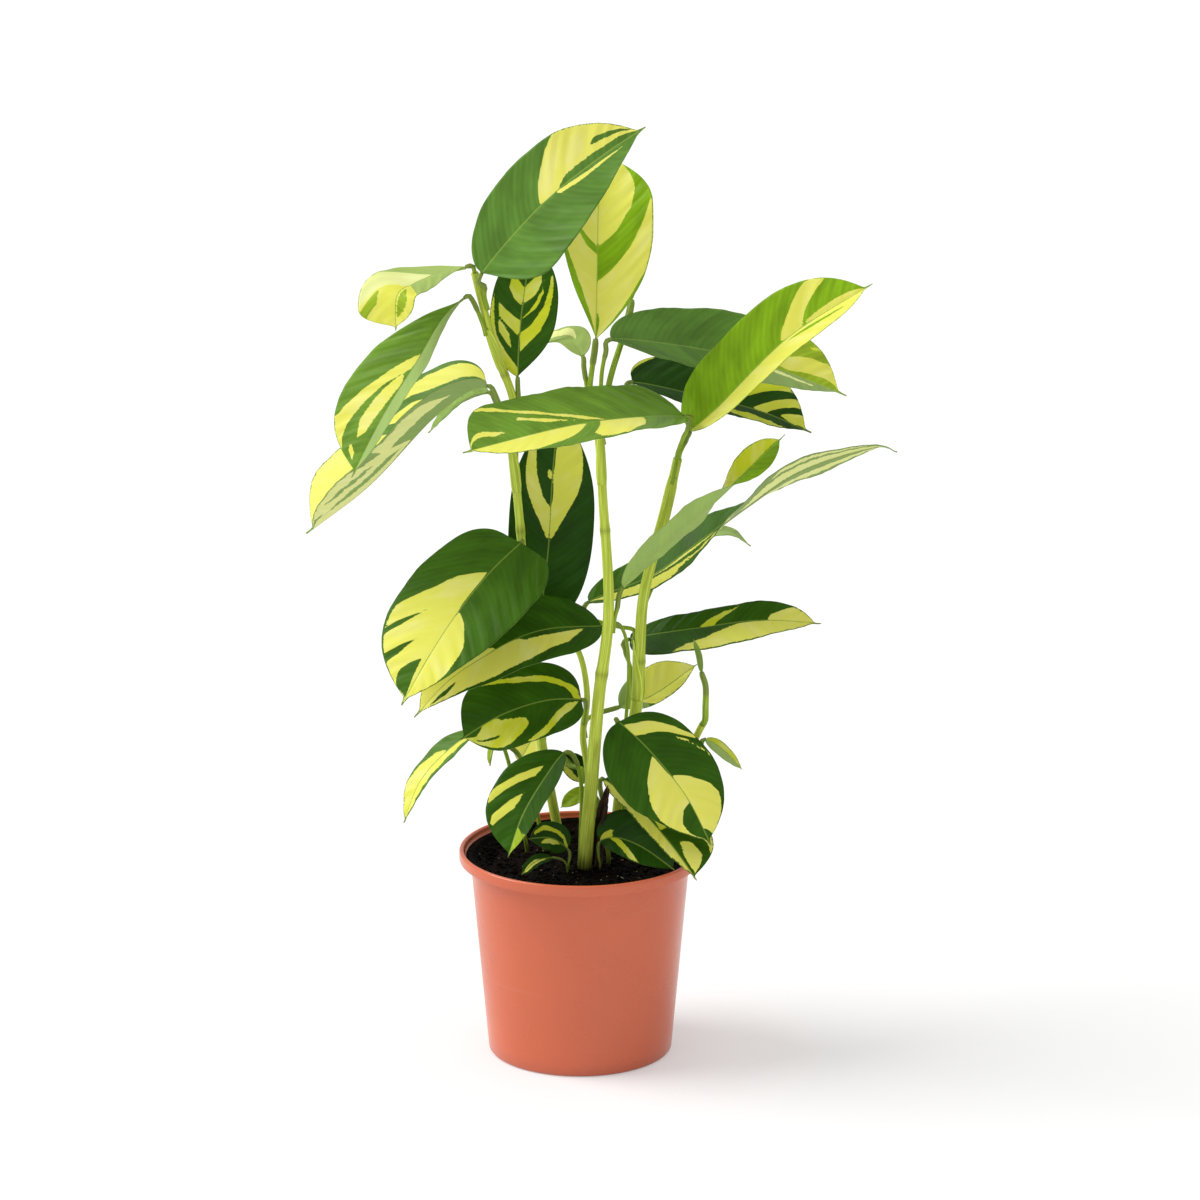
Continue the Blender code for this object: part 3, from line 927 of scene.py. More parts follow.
LEAVES = (
    # The crown of the left cane.
    Leaf("leaf_crown", ("cane_left", 535), ((-65, 1, 553),),
         ((-67, -1, 563), (-26, -6, 612), (14, 4, 643), (45, 15, 662)),
         (34, 40), (-0.35, -0.85, 0.4), fold=(8, 4), cup=2, widest=(0.55, 0.32), taper=(2.5, 1.5),
         base=(0.5, 1.1), ground=Tissue.MID, gold_and_shade=0.0, patches=(
             left(YELLOW, (0.41, -0.1), (0.42, 0.4), (0.44, 0.8), (0.5, 1.15), (1.05, 1.15), (1.05, -0.1)),
             left(GREEN, (0.49, -0.1), (0.56, 0.14), (0.66, 0.18), (0.8, 0.2), (1, 0.5), (1, -0.1)),
             left(GREEN, (0.7, 0.38), (0.72, 0.55), (0.8, 0.62), (0.92, 0.8), (0.9, 0.6), (0.8, 0.42)),
             right(YELLOW, (0.49, -0.05), (0.51, 0.1), (0.62, 0.2), (0.74, 0.24), (0.88, 0.34), (0.76, 0.15),
                 (0.64, 0.09), (0.55, 0.03)),
         )),
    Leaf("leaf_crown_small", ("cane_left", "top"), ((-74, 4, 567),),
         ((-78, 2, 567), (-95, -8, 565), (-112, -22, 561), (-124, -36, 556), (-125, -44, 533)),
         (14, 27), (0.3, 0.25, 1.0), (-0.35, -0.85, 0.4), fold=(4, 0), widest=(0.75, 0.78), taper=(3, 4),
         base=(1, 1), ground=Tissue.LIME, gold_and_shade=0.35, patches=(
             right(BLOOM, (-0.6, -0.1), (-0.6, 1.2), (0.55, 1.2), (0.6, -0.1)),
             left(BLOOM, (-0.6, -0.1), (-0.6, 1.2), (0.5, 1.2), (0.55, -0.1)),
             right(YELLOW, (0.3, -0.1), (0.35, 1.2), (1.1, 1.2), (1.1, -0.1)),
             left(YELLOW, (0.55, -0.1), (0.5, 1.2), (1.1, 1.2), (1.1, -0.1)),
             left(GREEN, (0.6, 0.15), (0.66, 0.6), (0.8, 0.5), (0.9, 0.15), (0.85, 0.08)),
             right(GREEN, (0.58, 0.5), (0.62, 1.2), (0.7, 1.2), (0.68, 0.5)),
         )),
    Leaf("leaf_left_hanging", ("cane_left", 515), ((-74, 2, 544),),
         ((-79, -2, 546), (-94, -12, 533), (-111, -20, 505), (-132, -31, 473), (-156, -45, 430)),
         (16, 37.7), (-0.4, -0.75, 0.5), fold=(36, 4), widest=(0.5, 0.62), taper=(2.5, 3.2), base=(1.1, 1.9),
         ground=Tissue.SPRING, sheath=34, gold_and_shade=0.1, patches=(
             right(YELLOW, (0.33, 0), (0.38, 0.3), (0.48, 0.6), (0.58, 0.9), (0.6, 1.15), (0.85, 1.15),
                 (0.78, 0.85), (0.64, 0.6), (0.5, 0.35), (0.44, 0.12), (0.4, -0.05)),
             right(YELLOW, (0.44, 0.12), (0.52, 0.3), (0.68, 0.42), (0.78, 0.35), (0.76, 0.2), (0.62, 0.1),
                 (0.5, 0.03)),
             right(YELLOW, (0.8, 0.5), (0.84, 0.62), (0.9, 0.5), (0.86, 0.35)),
             left(BLOOM, *WHOLE_HALF),
         )),
    Leaf("leaf_left_long", ("cane_left", 434), ((-58, 12, 473),),
         ((-64, 9, 481), (-80, 8, 477), (-105, 9, 456), (-146, 8, 411), (-190, 6, 376)),
         (25, 46), (-0.55, 0.1, 0.8), fold=(44, 42), widest=(0.6, 0.66), taper=(5, 5), base=(0.5, 0.35),
         ground=Tissue.MID, sheath=40, gold_and_shade=0.0, patches=(
             right(YELLOW, (0.38, 0.4), (0.42, 1.2), (1.1, 1.2), (1.1, -0.1), (0.8, 0.1), (0.62, 0.2),
                 (0.5, 0.3)),
             right(YELLOW, (-0.4, 0.35), (-0.4, 0.85), (0.1, 0.9), (0.2, 0.8), (0.1, 0.5), (-0.1, 0.35)),
             right(YELLOW, (0.16, 0.25), (0.2, 0.6), (0.33, 0.7), (0.3, 0.3)),
             left(YELLOW, (0.12, 0.35), (0.18, 0.85), (0.42, 0.95), (0.46, 0.5), (0.3, 0.4)),
             left(YELLOW, (0.4, 0.05), (0.44, 0.5), (0.55, 0.95), (0.95, 1.1), (1.05, -0.1)),
             left(GREEN, (0.44, 0.12), (0.5, 0.3), (0.72, 0.36), (0.9, 0.3), (0.72, 0.22)),
             left(GREEN, (0.52, 0.5), (0.56, 0.62), (0.8, 0.72), (0.78, 0.62), (0.64, 0.52)),
             left(GREEN, (0.86, 0.4), (0.9, 0.7), (0.98, 0.8), (0.96, 0.45)),
         )),
    Leaf("leaf_left_tip", ("cane_left", 440), ((-58, 28, 464),),
         ((-64, 34, 470), (-86, 46, 460), (-106, 52, 436)),
         (10, 10), (-0.3, -0.3, 0.9), ground=Tissue.YOUNG),
    Leaf("leaf_chevron", ("cane_left", 430), ((-42, 19, 462),),
         ((-43, 22, 484), (-41, 30, 520), (-36, 38, 556), (-31, 42, 581)),
         (22, 25), (0.05, -0.97, 0.2), fold=(6, 14), base=(0.75, 1.15), ground=Tissue.DEEP, gold_and_shade=0.55,
         patches=(
             left(LEMON, (0, 0), (0.06, 0.03), (0.1, 0.5), (0.15, 0.8), (0.24, 0.85), (0.33, 0.9), (0.43, 1),
                 (0.43, 1.2), (-0.4, 1.2)),
             left(LEMON, (0.28, -0.1), (0.29, 0.4), (0.3, 0.7), (0.37, 0.78), (0.38, 0.5), (0.4, -0.1)),
             left(LEMON, (0.49, -0.1), (0.5, 0.3), (0.53, 0.5), (0.66, 0.55), (0.64, 0.3), (0.61, -0.1)),
             left(LEMON, (0.16, 0.3), (0.2, 0.7), (0.28, 0.72), (0.25, 0.35)),
             right(LEMON, (0.02, -0.1), (0.17, 0.02), (0.19, 0.3), (0.22, 0.6), (0.3, 0.75), (0.46, 0.85),
                 (0.6, 0.93), (0.58, 0.82), (0.4, 0.6), (0.32, 0.3), (0.3, -0.1)),
             right(LEMON, (0.4, 0), (0.43, 0.4), (0.5, 0.55), (0.6, 0.6), (0.53, 0.5), (0.45, 0.3)),
             right(LEMON, (0.5, -0.1), (0.53, 0.35), (0.6, 0.5), (0.68, 0.5), (0.67, 0.3), (0.62, -0.1)),
         )),
    # The crown of the front cane.
    Leaf("leaf_shoulder_small", ("cane_front", 462), ((3, 5, 494),),
         ((2, 10, 502), (-7, 26, 510), (-20, 42, 505), (-42, 58, 492)),
         (10, 15), (-0.2, -0.2, 0.95), ground=Tissue.LIME, gold_and_shade=0, patches=(
             left(BLOOM, *WHOLE_HALF),
             right(BLOOM, *WHOLE_HALF),
             right(YELLOW, (0.2, 0.2), (0.3, 0.8), (0.8, 0.8), (0.8, 0.2)),
         )),
    Leaf("leaf_crown_yellow", ("cane_front", "top"), ((9, 4, 498),),
         ((11, 10, 514), (12, 24, 555), (13, 42, 600), (16, 58, 637)),
         (27.6, 41.3), (-0.28, -0.9, 0.28), fold=(40, 4), cup=2, widest=(0.72, 0.62), taper=(2.5, 3.5),
         base=(1.3, 1.0), radius=1.9, ground=Tissue.FRESH, sheath=30, gold_and_shade=0.12, patches=(
             left(YELLOW, *WHOLE_HALF),
             right(YELLOW, *WHOLE_HALF),
             right(GREEN, (0.3, -0.1), (0.31, 0.3), (0.34, 0.6), (0.42, 0.85), (0.52, 1), (0.62, 1.1),
                 (0.85, 1.1), (0.78, 0.85), (0.66, 0.72), (0.56, 0.6), (0.5, 0.35), (0.48, -0.1)),
             right(GREEN, (-0.4, 0.75), (-0.1, 0.8), (0.1, 0.93), (0.15, 1.1), (-0.4, 1.1)),
             right(GREEN, (-0.2, -0.1), (0.15, -0.1), (0.12, 0.1), (0, 0.3)),
             left(GREEN, (-0.5, 0.45), (0, 0.5), (0.15, 0.62), (0.3, 0.85), (0.45, 1), (0.45, 1.15),
                 (-0.5, 1.15)),
             left(GREEN, (0.44, -0.1), (0.45, 0.3), (0.5, 0.7), (0.53, 0.7), (0.5, 0.3), (0.475, -0.1)),
         )),
    Leaf("leaf_right_dark", ("cane_front", 455), ((15, 0, 490), (18, 3, 506)),
         ((22, 9, 514), (60, 36, 504), (102, 54, 492), (143, 57, 479), (186, 52, 463)),
         (35, 27), (0.05, -0.4, 0.92), (0.25, -0.55, 0.8), fold=(18, 8), widest=(0.62, 0.32),
         taper=(3.2, 2.5), ground=Tissue.MID, sheath=46, gold_and_shade=0.25, patches=(
             left(YELLOW, (0.66, 0.12), (0.72, 0.45), (0.8, 0.75), (0.84, 1.1), (0.95, 1.1), (0.95, 0.6),
                 (0.86, 0.25), (0.76, 0.05)),
             left(LIME, (0.58, -0.1), (0.64, 0.5), (0.66, 1.2), (1.1, 1.2), (1.1, -0.1)),
             left(LEMON, (0.7, 0.85), (0.72, 1), (0.745, 0.98), (0.72, 0.82)),
             right(BLOOM, (0.5, -0.1), (0.45, 1.2), (1.1, 1.2), (1.1, -0.1)),
             right(YELLOW, (0.62, 0.1), (0.7, 0.25), (0.85, 0.5), (0.86, 0.38), (0.72, 0.1), (0.64, 0.02)),
         )),
    Leaf("leaf_right_shaded", ("cane_front", 440), ((26, 12, 462), (33, 30, 469)),
         ((37, 46, 474), (84, 58, 461), (126, 62, 449), (162, 60, 434)),
         (38, 20), (0.05, -0.35, 0.92), fold=(14, 10), widest=(0.6, 0.5), taper=(3, 2.5), base=(0.42, 0.55),
         ground=Tissue.SHADE, gold_and_shade=0.5, patches=(
             left(YELLOW, (-0.5, 0.75), (-0.5, 1.2), (0, 1.2), (-0.05, 0.85)),
             left(LEMON, (0.5, 0.25), (0.52, 0.6), (0.58, 1.15), (0.7, 1.15), (0.62, 0.6), (0.58, 0.25)),
             left(YELLOW, (0.66, 0), (0.7, 0.4), (0.74, 1.15), (0.82, 1.15), (0.78, 0.5), (0.74, 0)),
             left(YELLOW, (0.8, 0.1), (0.84, 0.5), (0.88, 1.1), (0.97, 1.1), (0.96, 0.3), (0.9, 0)),
             right(LEMON, (0.42, 0.5), (0.55, 1.2), (0.85, 1.2), (0.75, 0.7), (0.6, 0.45)),
         )),
    Leaf("leaf_upper_spear", ("cane_front", 425), ((15, 13, 450), (21, 23, 482), (31, 38, 512)),
         ((36, 50, 532), (38, 62, 556), (34, 74, 590)),
         (4.5, 4.5), (0.1, -0.95, 0.2), fold=(50, 50), radius=2.2, ground=Tissue.YOUNG),
    # The crown of the right cane.
    Leaf("leaf_right_bright", ("cane_right", "top"), ((72, 24, 436),),
         ((76, 14, 447), (95, 3, 467), (143, -3, 518), (201, 2, 555)),
         (32, 30), (-0.35, -0.85, 0.35), fold=(4, 52), widest=(0.35, 0.5), taper=(5, 3.5), base=(0.35, 1.0),
         radius=2.4, ground=Tissue.FRESH, gold_and_shade=0.15, patches=(
             left(YELLOW, (0.55, -0.1), (0.57, 0.2), (0.6, 0.5), (0.62, 0.8), (0.66, 1.15), (0.76, 1.15),
                 (0.73, 0.8), (0.7, 0.5), (0.68, 0.25), (0.66, -0.1)),
             left(YELLOW, (0.64, -0.1), (0.7, 0.1), (0.8, 0.18), (0.95, 0.35), (1.05, -0.1)),
             left(YELLOW, (-0.5, 0.965), (0.45, 0.975), (0.45, 1.2), (-0.5, 1.2)),
             right(YELLOW, (0.0, -0.1), (-0.1, 0.5), (-0.2, 1.2), (1.1, 1.2), (1.1, -0.1)),
             right(GREEN, (0.56, 0.12), (0.66, 0.3), (0.84, 0.45), (0.8, 0.3), (0.68, 0.14)),
         )),
    Leaf("leaf_middle_broad", ("cane_right", 405), ((69, 12, 436), (76, 4, 456)),
         ((72, -2, 462), (31, -34, 469), (-13, -60, 469), (-79, -84, 458)),
         (34, 37), (0.0, -0.24, 0.97), (-0.1, -0.35, 0.93), fold=(12, 14), widest=(0.5, 0.18), taper=(3, 22),
         base=(0.55, 0.35), ground=Tissue.SPRING, sheath=52, gold_and_shade=0.1, patches=(
             left(YELLOW, (0.48, -0.1), (0.5, 0.5), (0.58, 0.85), (0.66, 1.15), (1.05, 1.15), (1.05, -0.1)),
             left(YELLOW, (0.22, -0.1), (0.2, 0.6), (0.24, 0.95), (0.36, 0.9), (0.42, 0.6), (0.42, -0.1)),
             right(YELLOW, (0.38, 0.02), (0.44, 0.18), (0.54, 0.45), (0.64, 0.8), (0.72, 1.1), (0.77, 1.1),
                 (0.67, 0.75), (0.56, 0.4), (0.46, 0.1)),
             right(YELLOW, (0.5, 0.12), (0.58, 0.3), (0.66, 0.5), (0.68, 0.45), (0.6, 0.22)),
             right(YELLOW, (0.78, 0.22), (0.84, 0.42), (0.92, 0.55), (0.97, 0.85), (1, 0.8), (0.97, 0.45),
                 (0.9, 0.35), (0.83, 0.2)),
         )),
    # Halfway up.
    Leaf("leaf_upright_dark", ("cane_rear", "top"), ((-17, 33, 301),),
         ((-27, 37, 302), (-22, 44, 357), (-19, 51, 408), (-14, 58, 456)),
         (29, 31), (0.02, -0.98, 0.15), fold=(4, 6), base=(0.4, 0.4), radius=1.9, ground=Tissue.SHADE,
         gold_and_shade=0.3, patches=(
             left(YELLOW, (0.35, -0.1), (0.375, 0.04), (0.44, 0.27), (0.49, 0.5), (0.535, 0.65),
                 (0.605, 0.77), (0.715, 0.92), (0.815, 0.85), (0.715, 0.6), (0.625, 0.42), (0.555, 0.2),
                 (0.51, -0.1)),
             left(YELLOW, (0.64, -0.05), (0.655, 0.12), (0.695, 0.15), (0.685, 0)),
             right(YELLOW, (0.35, -0.1), (0.375, 0.04), (0.42, 0.2), (0.47, 0.43), (0.51, 0.62),
                 (0.555, 0.73), (0.655, 0.88), (0.775, 1.05), (0.905, 1), (0.855, 0.2), (0.775, 0.03),
                 (0.635, 0.02), (0.555, -0.02), (0.525, -0.1)),
         )),
    Leaf("leaf_front_left", ("cane_left", 345), ((-43, 18, 363),),
         ((-41, 10, 368), (-62, -4, 351), (-83, -22, 329), (-102, -39, 304), (-123, -55, 270)),
         (42, 46), (-0.3, -0.8, 0.52), fold=(6, 2), cup=-3, widest=(0.28, 0.52), taper=(2, 3),
         base=(0.2, 0.4), patches=(
             right(YELLOW, (0.21, -0.1), (0.24, 0.38), (0.29, 0.58), (0.31, 0.82), (0.33, 0.93), (0.45, 0.96),
                 (0.7, 0.95), (0.9, 0.95), (1.05, 0.6), (1.05, -0.1)),
             right(GREEN, (0.435, 0.42), (0.45, 0.68), (0.46, 0.93), (0.52, 1.15), (0.57, 1.15),
                 (0.505, 0.93), (0.485, 0.68)),
             right(GREEN, (0.61, 0.3), (0.63, 0.6), (0.64, 0.95), (0.7, 0.95), (0.68, 0.6)),
             right(GREEN, (0.74, 0.1), (0.78, 0.5), (0.88, 1), (0.95, 0.5), (0.95, 0.1)),
             left(YELLOW, (0.46, -0.1), (0.475, 0.25), (0.52, 0.6), (0.6, 0.76), (0.7, 0.92), (0.76, 0.97),
                 (1.05, 1), (1.05, -0.1)),
         )),
    Leaf("leaf_right_pale_back", ("cane_front", 305), ((26, -8, 326),),
         ((30, -6, 341), (52, -8, 367), (90, -4, 399), (142, 10, 446)),
         (13.1, 13.1), (-0.35, 0.8, 0.5), (-0.5, -0.75, 0.4), fold=(14, 14), widest=(0.5, 0.5), taper=(9, 9),
         turn=(0.45, 0.85), ground=Tissue.FRESH, patches=(
             left(BLOOM, (-0.6, -0.1), (-0.6, 1.2), (0.62, 1.2), (0.62, -0.1)),
             right(BLOOM, (-0.6, -0.1), (-0.6, 1.2), (0.62, 1.2), (0.62, -0.1)),
             left(LEMON, (0.6, -0.1), (0.6, 1.2), (1.1, 1.2), (1.1, 0.6), (0.9, 0.1)),
         )),
    Leaf("leaf_right_narrow", ("cane_right", 285), ((26, 45, 297), (8, 45, 303)),
         ((6, 48, 314), (50, 59, 330), (80, 56, 353), (118, 47, 385), (155, 42, 411), (205, 36, 430),
          (221, 34, 427)),
         (19.8, 17.2), (-0.25, -0.45, 0.85), (0.1, 0.8, 0.5), widest=(0.25, 0.25), turn=(0.32, 0.8),
         sheath=44, patches=(
             right(YELLOW, (0, 0.2), (0.03, 0.9), (0.2, 0.9), (0.3, 0.5), (0.2, 0.25)),
             right(YELLOW, (0.15, 0.05), (0.25, 0.2), (0.4, 0.3), (0.42, 0.22), (0.3, 0.05)),
             right(YELLOW, (0.25, 0.6), (0.35, 0.8), (0.48, 0.75), (0.45, 0.55)),
             left(YELLOW, (0.5, 0.35), (0.55, 0.8), (1, 0.7), (1, 0.35)),
             right(YELLOW, (0.5, 0.1), (0.55, 0.55), (0.95, 0.5), (1, 0.15)),
             right(YELLOW, (0.6, 0.7), (0.64, 0.9), (0.9, 0.9), (0.92, 0.7)),
         )),
    Leaf("leaf_right_behind", ("cane_right", 300), ((53, 60, 326),),
         ((60, 73, 334), (85, 83, 352), (106, 87, 354), (121, 90, 343)),
         (5.6, 8), (0.0, -0.3, 0.95), ground=Tissue.YOUNG, patches=(
             left(BLOOM, *WHOLE_HALF),
             right(BLOOM, *WHOLE_HALF),
         )),
    Leaf("leaf_low_left_long", ("cane_right", 205), ((34, 27, 262), (33, 24, 290), (27, 16, 307)),
         ((15, 9, 308), (-20, -4, 310), (-44, -12, 305), (-67, -20, 294), (-91, -27, 279), (-115, -32, 254)),
         (28, 30), (-0.05, -0.6, 0.8), fold=(6, 6), widest=(0.38, 0.42), taper=(1.8, 2.5), radius=1.3,
         ground=Tissue.DEEP, gold_and_shade=0.0, patches=(
             left(YELLOW, (0.08, 0.1), (0.12, 0.55), (0.3, 0.8), (0.5, 0.85), (0.7, 0.9), (0.95, 1.1),
                 (1.05, 1.1), (1.05, -0.1), (0.45, -0.1), (0.36, 0.15), (0.22, 0.2)),
             left(GREEN, (0.72, 0.3), (0.78, 0.6), (0.9, 0.7), (0.85, 0.35)),
             right(YELLOW, (0.5, -0.1), (0.55, 0.3), (0.6, 0.8), (0.6, 1.1), (1.05, 1.1), (1.05, -0.1)),
         )),
    Leaf("leaf_right_low", ("cane_right", 225), ((36, 50, 262), (32, 61, 274)),
         ((35, 64, 282), (84, 48, 295), (126, 36, 304), (169, 26, 305)),
         (16, 27), (-0.05, -0.5, 0.86), widest=(0.7, 0.35), taper=(3, 2.5), base=(0.4, 0.4),
         ground=Tissue.DEEP, gold_and_shade=0.1, patches=(
             left(YELLOW, (0.73, -0.1), (0.72, 0.35), (0.76, 0.75), (0.82, 1.1), (1, 1.1), (1.05, -0.1)),
             left(LEMON, (0.37, -0.1), (0.39, 0.35), (0.44, 0.7), (0.5, 0.9), (0.48, 0.6), (0.46, 0.3),
                 (0.45, -0.1)),
             right(YELLOW, (0.34, 0.5), (0.5, 0.2), (0.66, -0.1), (1.05, -0.1), (1.05, 0.95), (0.45, 0.95),
                 (0.12, 0.95), (0.22, 0.7)),
         )),
    # Low in the plant.
    Leaf("leaf_right_pale", ("cane_rear", 222), ((10, 32, 236),),
         ((28, 44, 238), (52, 57, 243), (83, 72, 261)),
         (20, 8), (0.0, -0.7, 0.7), ground=Tissue.MID, gold_and_shade=0.0, patches=(
             left(BLOOM, (-0.6, -0.1), (-0.6, 1.2), (0.2, 1.2), (0.3, -0.1)),
             right(BLOOM, (-0.6, -0.1), (-0.6, 1.2), (0.2, 1.2), (0.3, -0.1)),
             left(YELLOW, (0.24, -0.1), (0.22, 1.2), (1.1, 1.2), (1.1, -0.1)),
             right(YELLOW, (0.24, -0.1), (0.28, 1.2), (1.1, 1.2), (1.1, -0.1)),
         )),
    Leaf("leaf_low_left_round", ("cane_rear", 235), ((4, 5, 252),),
         ((1, 0, 257), (-24, -9, 259), (-54, -26, 254), (-83, -36, 239)),
         (31, 31), (-0.05, -0.72, 0.7), fold=(10, 6), widest=(0.55, 0.5), taper=(4, 4), base=(0.35, 0.35),
         ground=Tissue.DEEP, gold_and_shade=0.55, patches=(
             right(LEMON, (0, -0.05), (0, 0.3), (-0.03, 0.5), (0.06, 0.62), (0.2, 0.72), (0.42, 0.88),
                 (0.46, 0.88), (0.3, 0.62), (0.15, 0.5), (0.06, 0.38), (0.05, 0.2), (0.07, -0.05)),
             left(LEMON, (0.02, 0.1), (0.1, 0.15), (0.15, 0.4), (0.22, 0.7), (0.38, 1), (0.2, 0.95),
                 (0.1, 0.7), (0.03, 0.4)),
             left(LEMON, (0.4, 0.5), (0.44, 0.32), (0.54, 0.22), (0.66, 0.12), (0.72, -0.1), (0.8, -0.1),
                 (0.86, 0.3), (0.93, 0.4), (0.97, 0.6), (0.9, 0.9), (0.75, 0.85), (0.62, 0.9), (0.5, 0.85),
                 (0.44, 0.7)),
             left(GREEN, (0.6, 0.5), (0.66, 0.56), (0.84, 0.62), (0.86, 0.55), (0.7, 0.48)),
         )),
    Leaf("leaf_low_left_pale", ("cane_left", 205), ((-32, 48, 224),),
         ((-28, 50, 222), (-36, 53, 208), (-44, 56, 192)),
         (13, 13), (-0.2, -0.8, 0.5), ground=Tissue.YOUNG, patches=(
             left(YELLOW, *WHOLE_HALF),
             right(YELLOW, *WHOLE_HALF),
         )),
    Leaf("leaf_low_left_narrow", ("soil", (-38, 24)), ((-46, 20, 185), (-56, 14, 222)),
         ((-74, 8, 229), (-92, 4, 219), (-112, 0, 197), (-124, -5, 168)),
         (10.2, 11.7), (-0.6, -0.5, 0.6), ground=Tissue.MID, patches=(
             right(YELLOW, (0.25, -0.1), (0.3, 0.5), (0.45, 0.8), (0.75, 1.1), (1.05, 1.1), (1.05, -0.1)),
             left(YELLOW, (0.05, -0.1), (0.05, 0.6), (1, 0.8), (1.05, -0.1)),
         )),
    Leaf("leaf_curl", ("soil", (-26, 28)), ((-40, 32, 200),),
         ((-57, 30, 216), (-62, 28, 212), (-64, 26, 200)),
         (5, 5), (-0.7, -0.2, 0.6), ground=Tissue.LIME),
    Leaf("leaf_pot_left", ("soil", (0, 3)), ((1, 1, 190), (-3, -5, 214)),
         ((-11, -10, 221), (-25, -19, 205), (-40, -31, 182), (-50, -45, 156)),
         (19, 29), (-0.3, -0.8, 0.5), fold=(36, 4), widest=(0.48, 0.52), base=(0.55, 0.8), ground=Tissue.DEEP,
         gold_and_shade=0.3, patches=(
             right(YELLOW, (0.14, 0.27), (0.185, 0.6), (0.24, 0.87), (0.28, 1.1), (0.4, 1.1), (0.37, 0.88),
                 (0.31, 0.6), (0.265, 0.36), (0.25, 0.25)),
             right(YELLOW, (0.41, 0.22), (0.44, 0.42), (0.49, 0.62), (0.51, 0.8), (0.58, 0.9), (0.61, 0.85),
                 (0.6, 0.55), (0.55, 0.27)),
             left(LIME, (0.74, 0), (0.72, 0.6), (0.66, 1.1), (1, 1.1), (1.1, -0.1)),
         )),
    Leaf("leaf_pot_right", ("soil", (30, 20)), ((31, 20, 190), (27, 8, 234)),
         ((27, -4, 242), (49, -22, 226), (74, -44, 200), (91, -66, 172)),
         (34, 40), (0.3, -0.78, 0.58), fold=(8, 4), cup=-2, widest=(0.42, 0.45), ground=Tissue.DEEP,
         gold_and_shade=0.05, patches=(
             left(YELLOW, (0.045, -0.1), (0.045, 0.35), (0.03, 0.6), (0.06, 0.8), (0.1, 1), (0.14, 1.05),
                 (0.125, 0.65), (0.13, 0.45), (0.155, 0.2), (0.14, -0.1)),
             left(YELLOW, (0.155, 0.63), (0.165, 0.78), (0.22, 0.93), (0.3, 1.02), (0.27, 0.95), (0.2, 0.83),
                 (0.175, 0.66)),
             left(YELLOW, (0.49, -0.1), (0.495, 0.2), (0.505, 0.42), (0.515, 0.68), (0.55, 0.84), (0.63, 0.9),
                 (0.76, 0.97), (0.9, 0.95), (0.88, -0.1)),
             right(YELLOW, (0.31, -0.02), (0.33, 0.2), (0.345, 0.45), (0.4, 0.63), (0.48, 0.8), (0.56, 0.92),
                 (0.66, 0.98), (0.8, 0.95), (0.95, 0.9), (1, 0.5), (1, -0.1)),
             right(GREEN, (0.7, -0.1), (0.7, 0.25), (0.74, 0.55), (0.82, 0.8), (0.95, 0.8), (1, -0.1)),
         )),
    Leaf("leaf_rim_right", ("soil", (20, -2)), ((16, 2, 180), (14, 6, 192)),
         ((17, 4, 197), (38, -16, 186), (62, -44, 167), (81, -68, 147)),
         (28, 10), (0.4, -0.6, 0.7), fold=(20, 0), widest=(0.7, 0.45), taper=(3.5, 2.5), ground=Tissue.DEEP,
         gold_and_shade=0.1, patches=(
             left(YELLOW, (-0.1, 0.75), (0, 0.7), (0.3, 0.68), (0.6, 0.78), (0.72, 0.9), (0.72, 1.15),
                 (-0.2, 1.15)),
             left(YELLOW, (0.66, 0.25), (0.66, 0.45), (0.76, 0.6), (0.88, 0.6), (0.95, 0.4), (0.9, 0.12),
                 (0.8, 0.1)),
             left(LEMON, (0.42, 0.1), (0.44, 0.25), (0.54, 0.2), (0.56, 0.02)),
             right(YELLOW, *WHOLE_HALF),
         )),
    Leaf("leaf_soil_right", ("soil", (14, -14)), ((13, -14, 147),),
         ((14, -16, 158), (26, -20, 162), (44, -30, 158), (66, -46, 147)),
         (25, 14), (0.1, -0.75, 0.65), radius=0.9, ground=Tissue.SHADE, patches=(
             left(LEMON, (0, 0.1), (0.02, 0.3), (0.1, 0.32), (0.14, 0.1), (0.2, -0.1), (0.08, -0.1)),
             right(LEMON, (0.1, -0.1), (0.16, 0.3), (0.32, 0.9), (0.5, 1), (0.4, 0.6), (0.28, 0.2),
                 (0.22, -0.1)),
             left(LEMON, (0.42, 0.4), (0.46, 0.6), (0.6, 0.55), (0.58, 0.35)),
         )),
    Leaf("leaf_behind_upper", ("cane_rear", 188), ((-7, 21, 202),),
         ((-11, 25, 208), (-2, 30, 197), (7, 32, 186)),
         (9, 9), (-0.2, -0.9, 0.4), ground=Tissue.SHADE, patches=(
             right(YELLOW, (0.0, 0.6), (0.3, 0.45), (0.8, 0.6), (0.8, 1.2), (0, 1.2)),
         )),
    Leaf("leaf_behind_lower", ("cane_rear", 154), ((13, 19, 174),),
         ((9, 21, 180), (-1, 22, 180), (-14, 20, 171)),
         (6, 6), (-0.1, -0.8, 0.6), ground=Tissue.LIME),
    Leaf("leaf_right_spear", ("cane_side", "top"), ((88, 14, 247), (88, 11, 263)),
         ((85, 10, 274), (83, 11, 287), (79, 12, 298)),
         (3.5, 3.5), (0.0, -1.0, 0.1), fold=(50, 50), radius=2.3, knee=0.0, ground=Tissue.YOUNG),
    Leaf("leaf_right_small", ("cane_side", 200), ((84, 18, 217),),
         ((88, 16, 223), (100, 12, 217), (114, 5, 204)),
         (4, 7), (0.2, -0.6, 0.7), ground=Tissue.YOUNG, patches=(
             left(LEMON, *WHOLE_HALF),
             right(BLOOM, *WHOLE_HALF),
         )),
    Leaf("leaf_soil_left", ("soil", (-8, -14)), ((-7, -12, 146),),
         ((-9, -11, 151), (-20, -15, 160), (-36, -22, 162)),
         (11, 12), (-0.1, -0.8, 0.6), radius=0.9, ground=Tissue.SHADE, patches=(
             right(LEMON, (0.05, -0.1), (0.15, 0.3), (0.5, 0.45), (0.8, 0.4), (0.75, 0.7), (0.4, 0.75),
                 (0.1, 0.5), (-0.1, 0.1)),
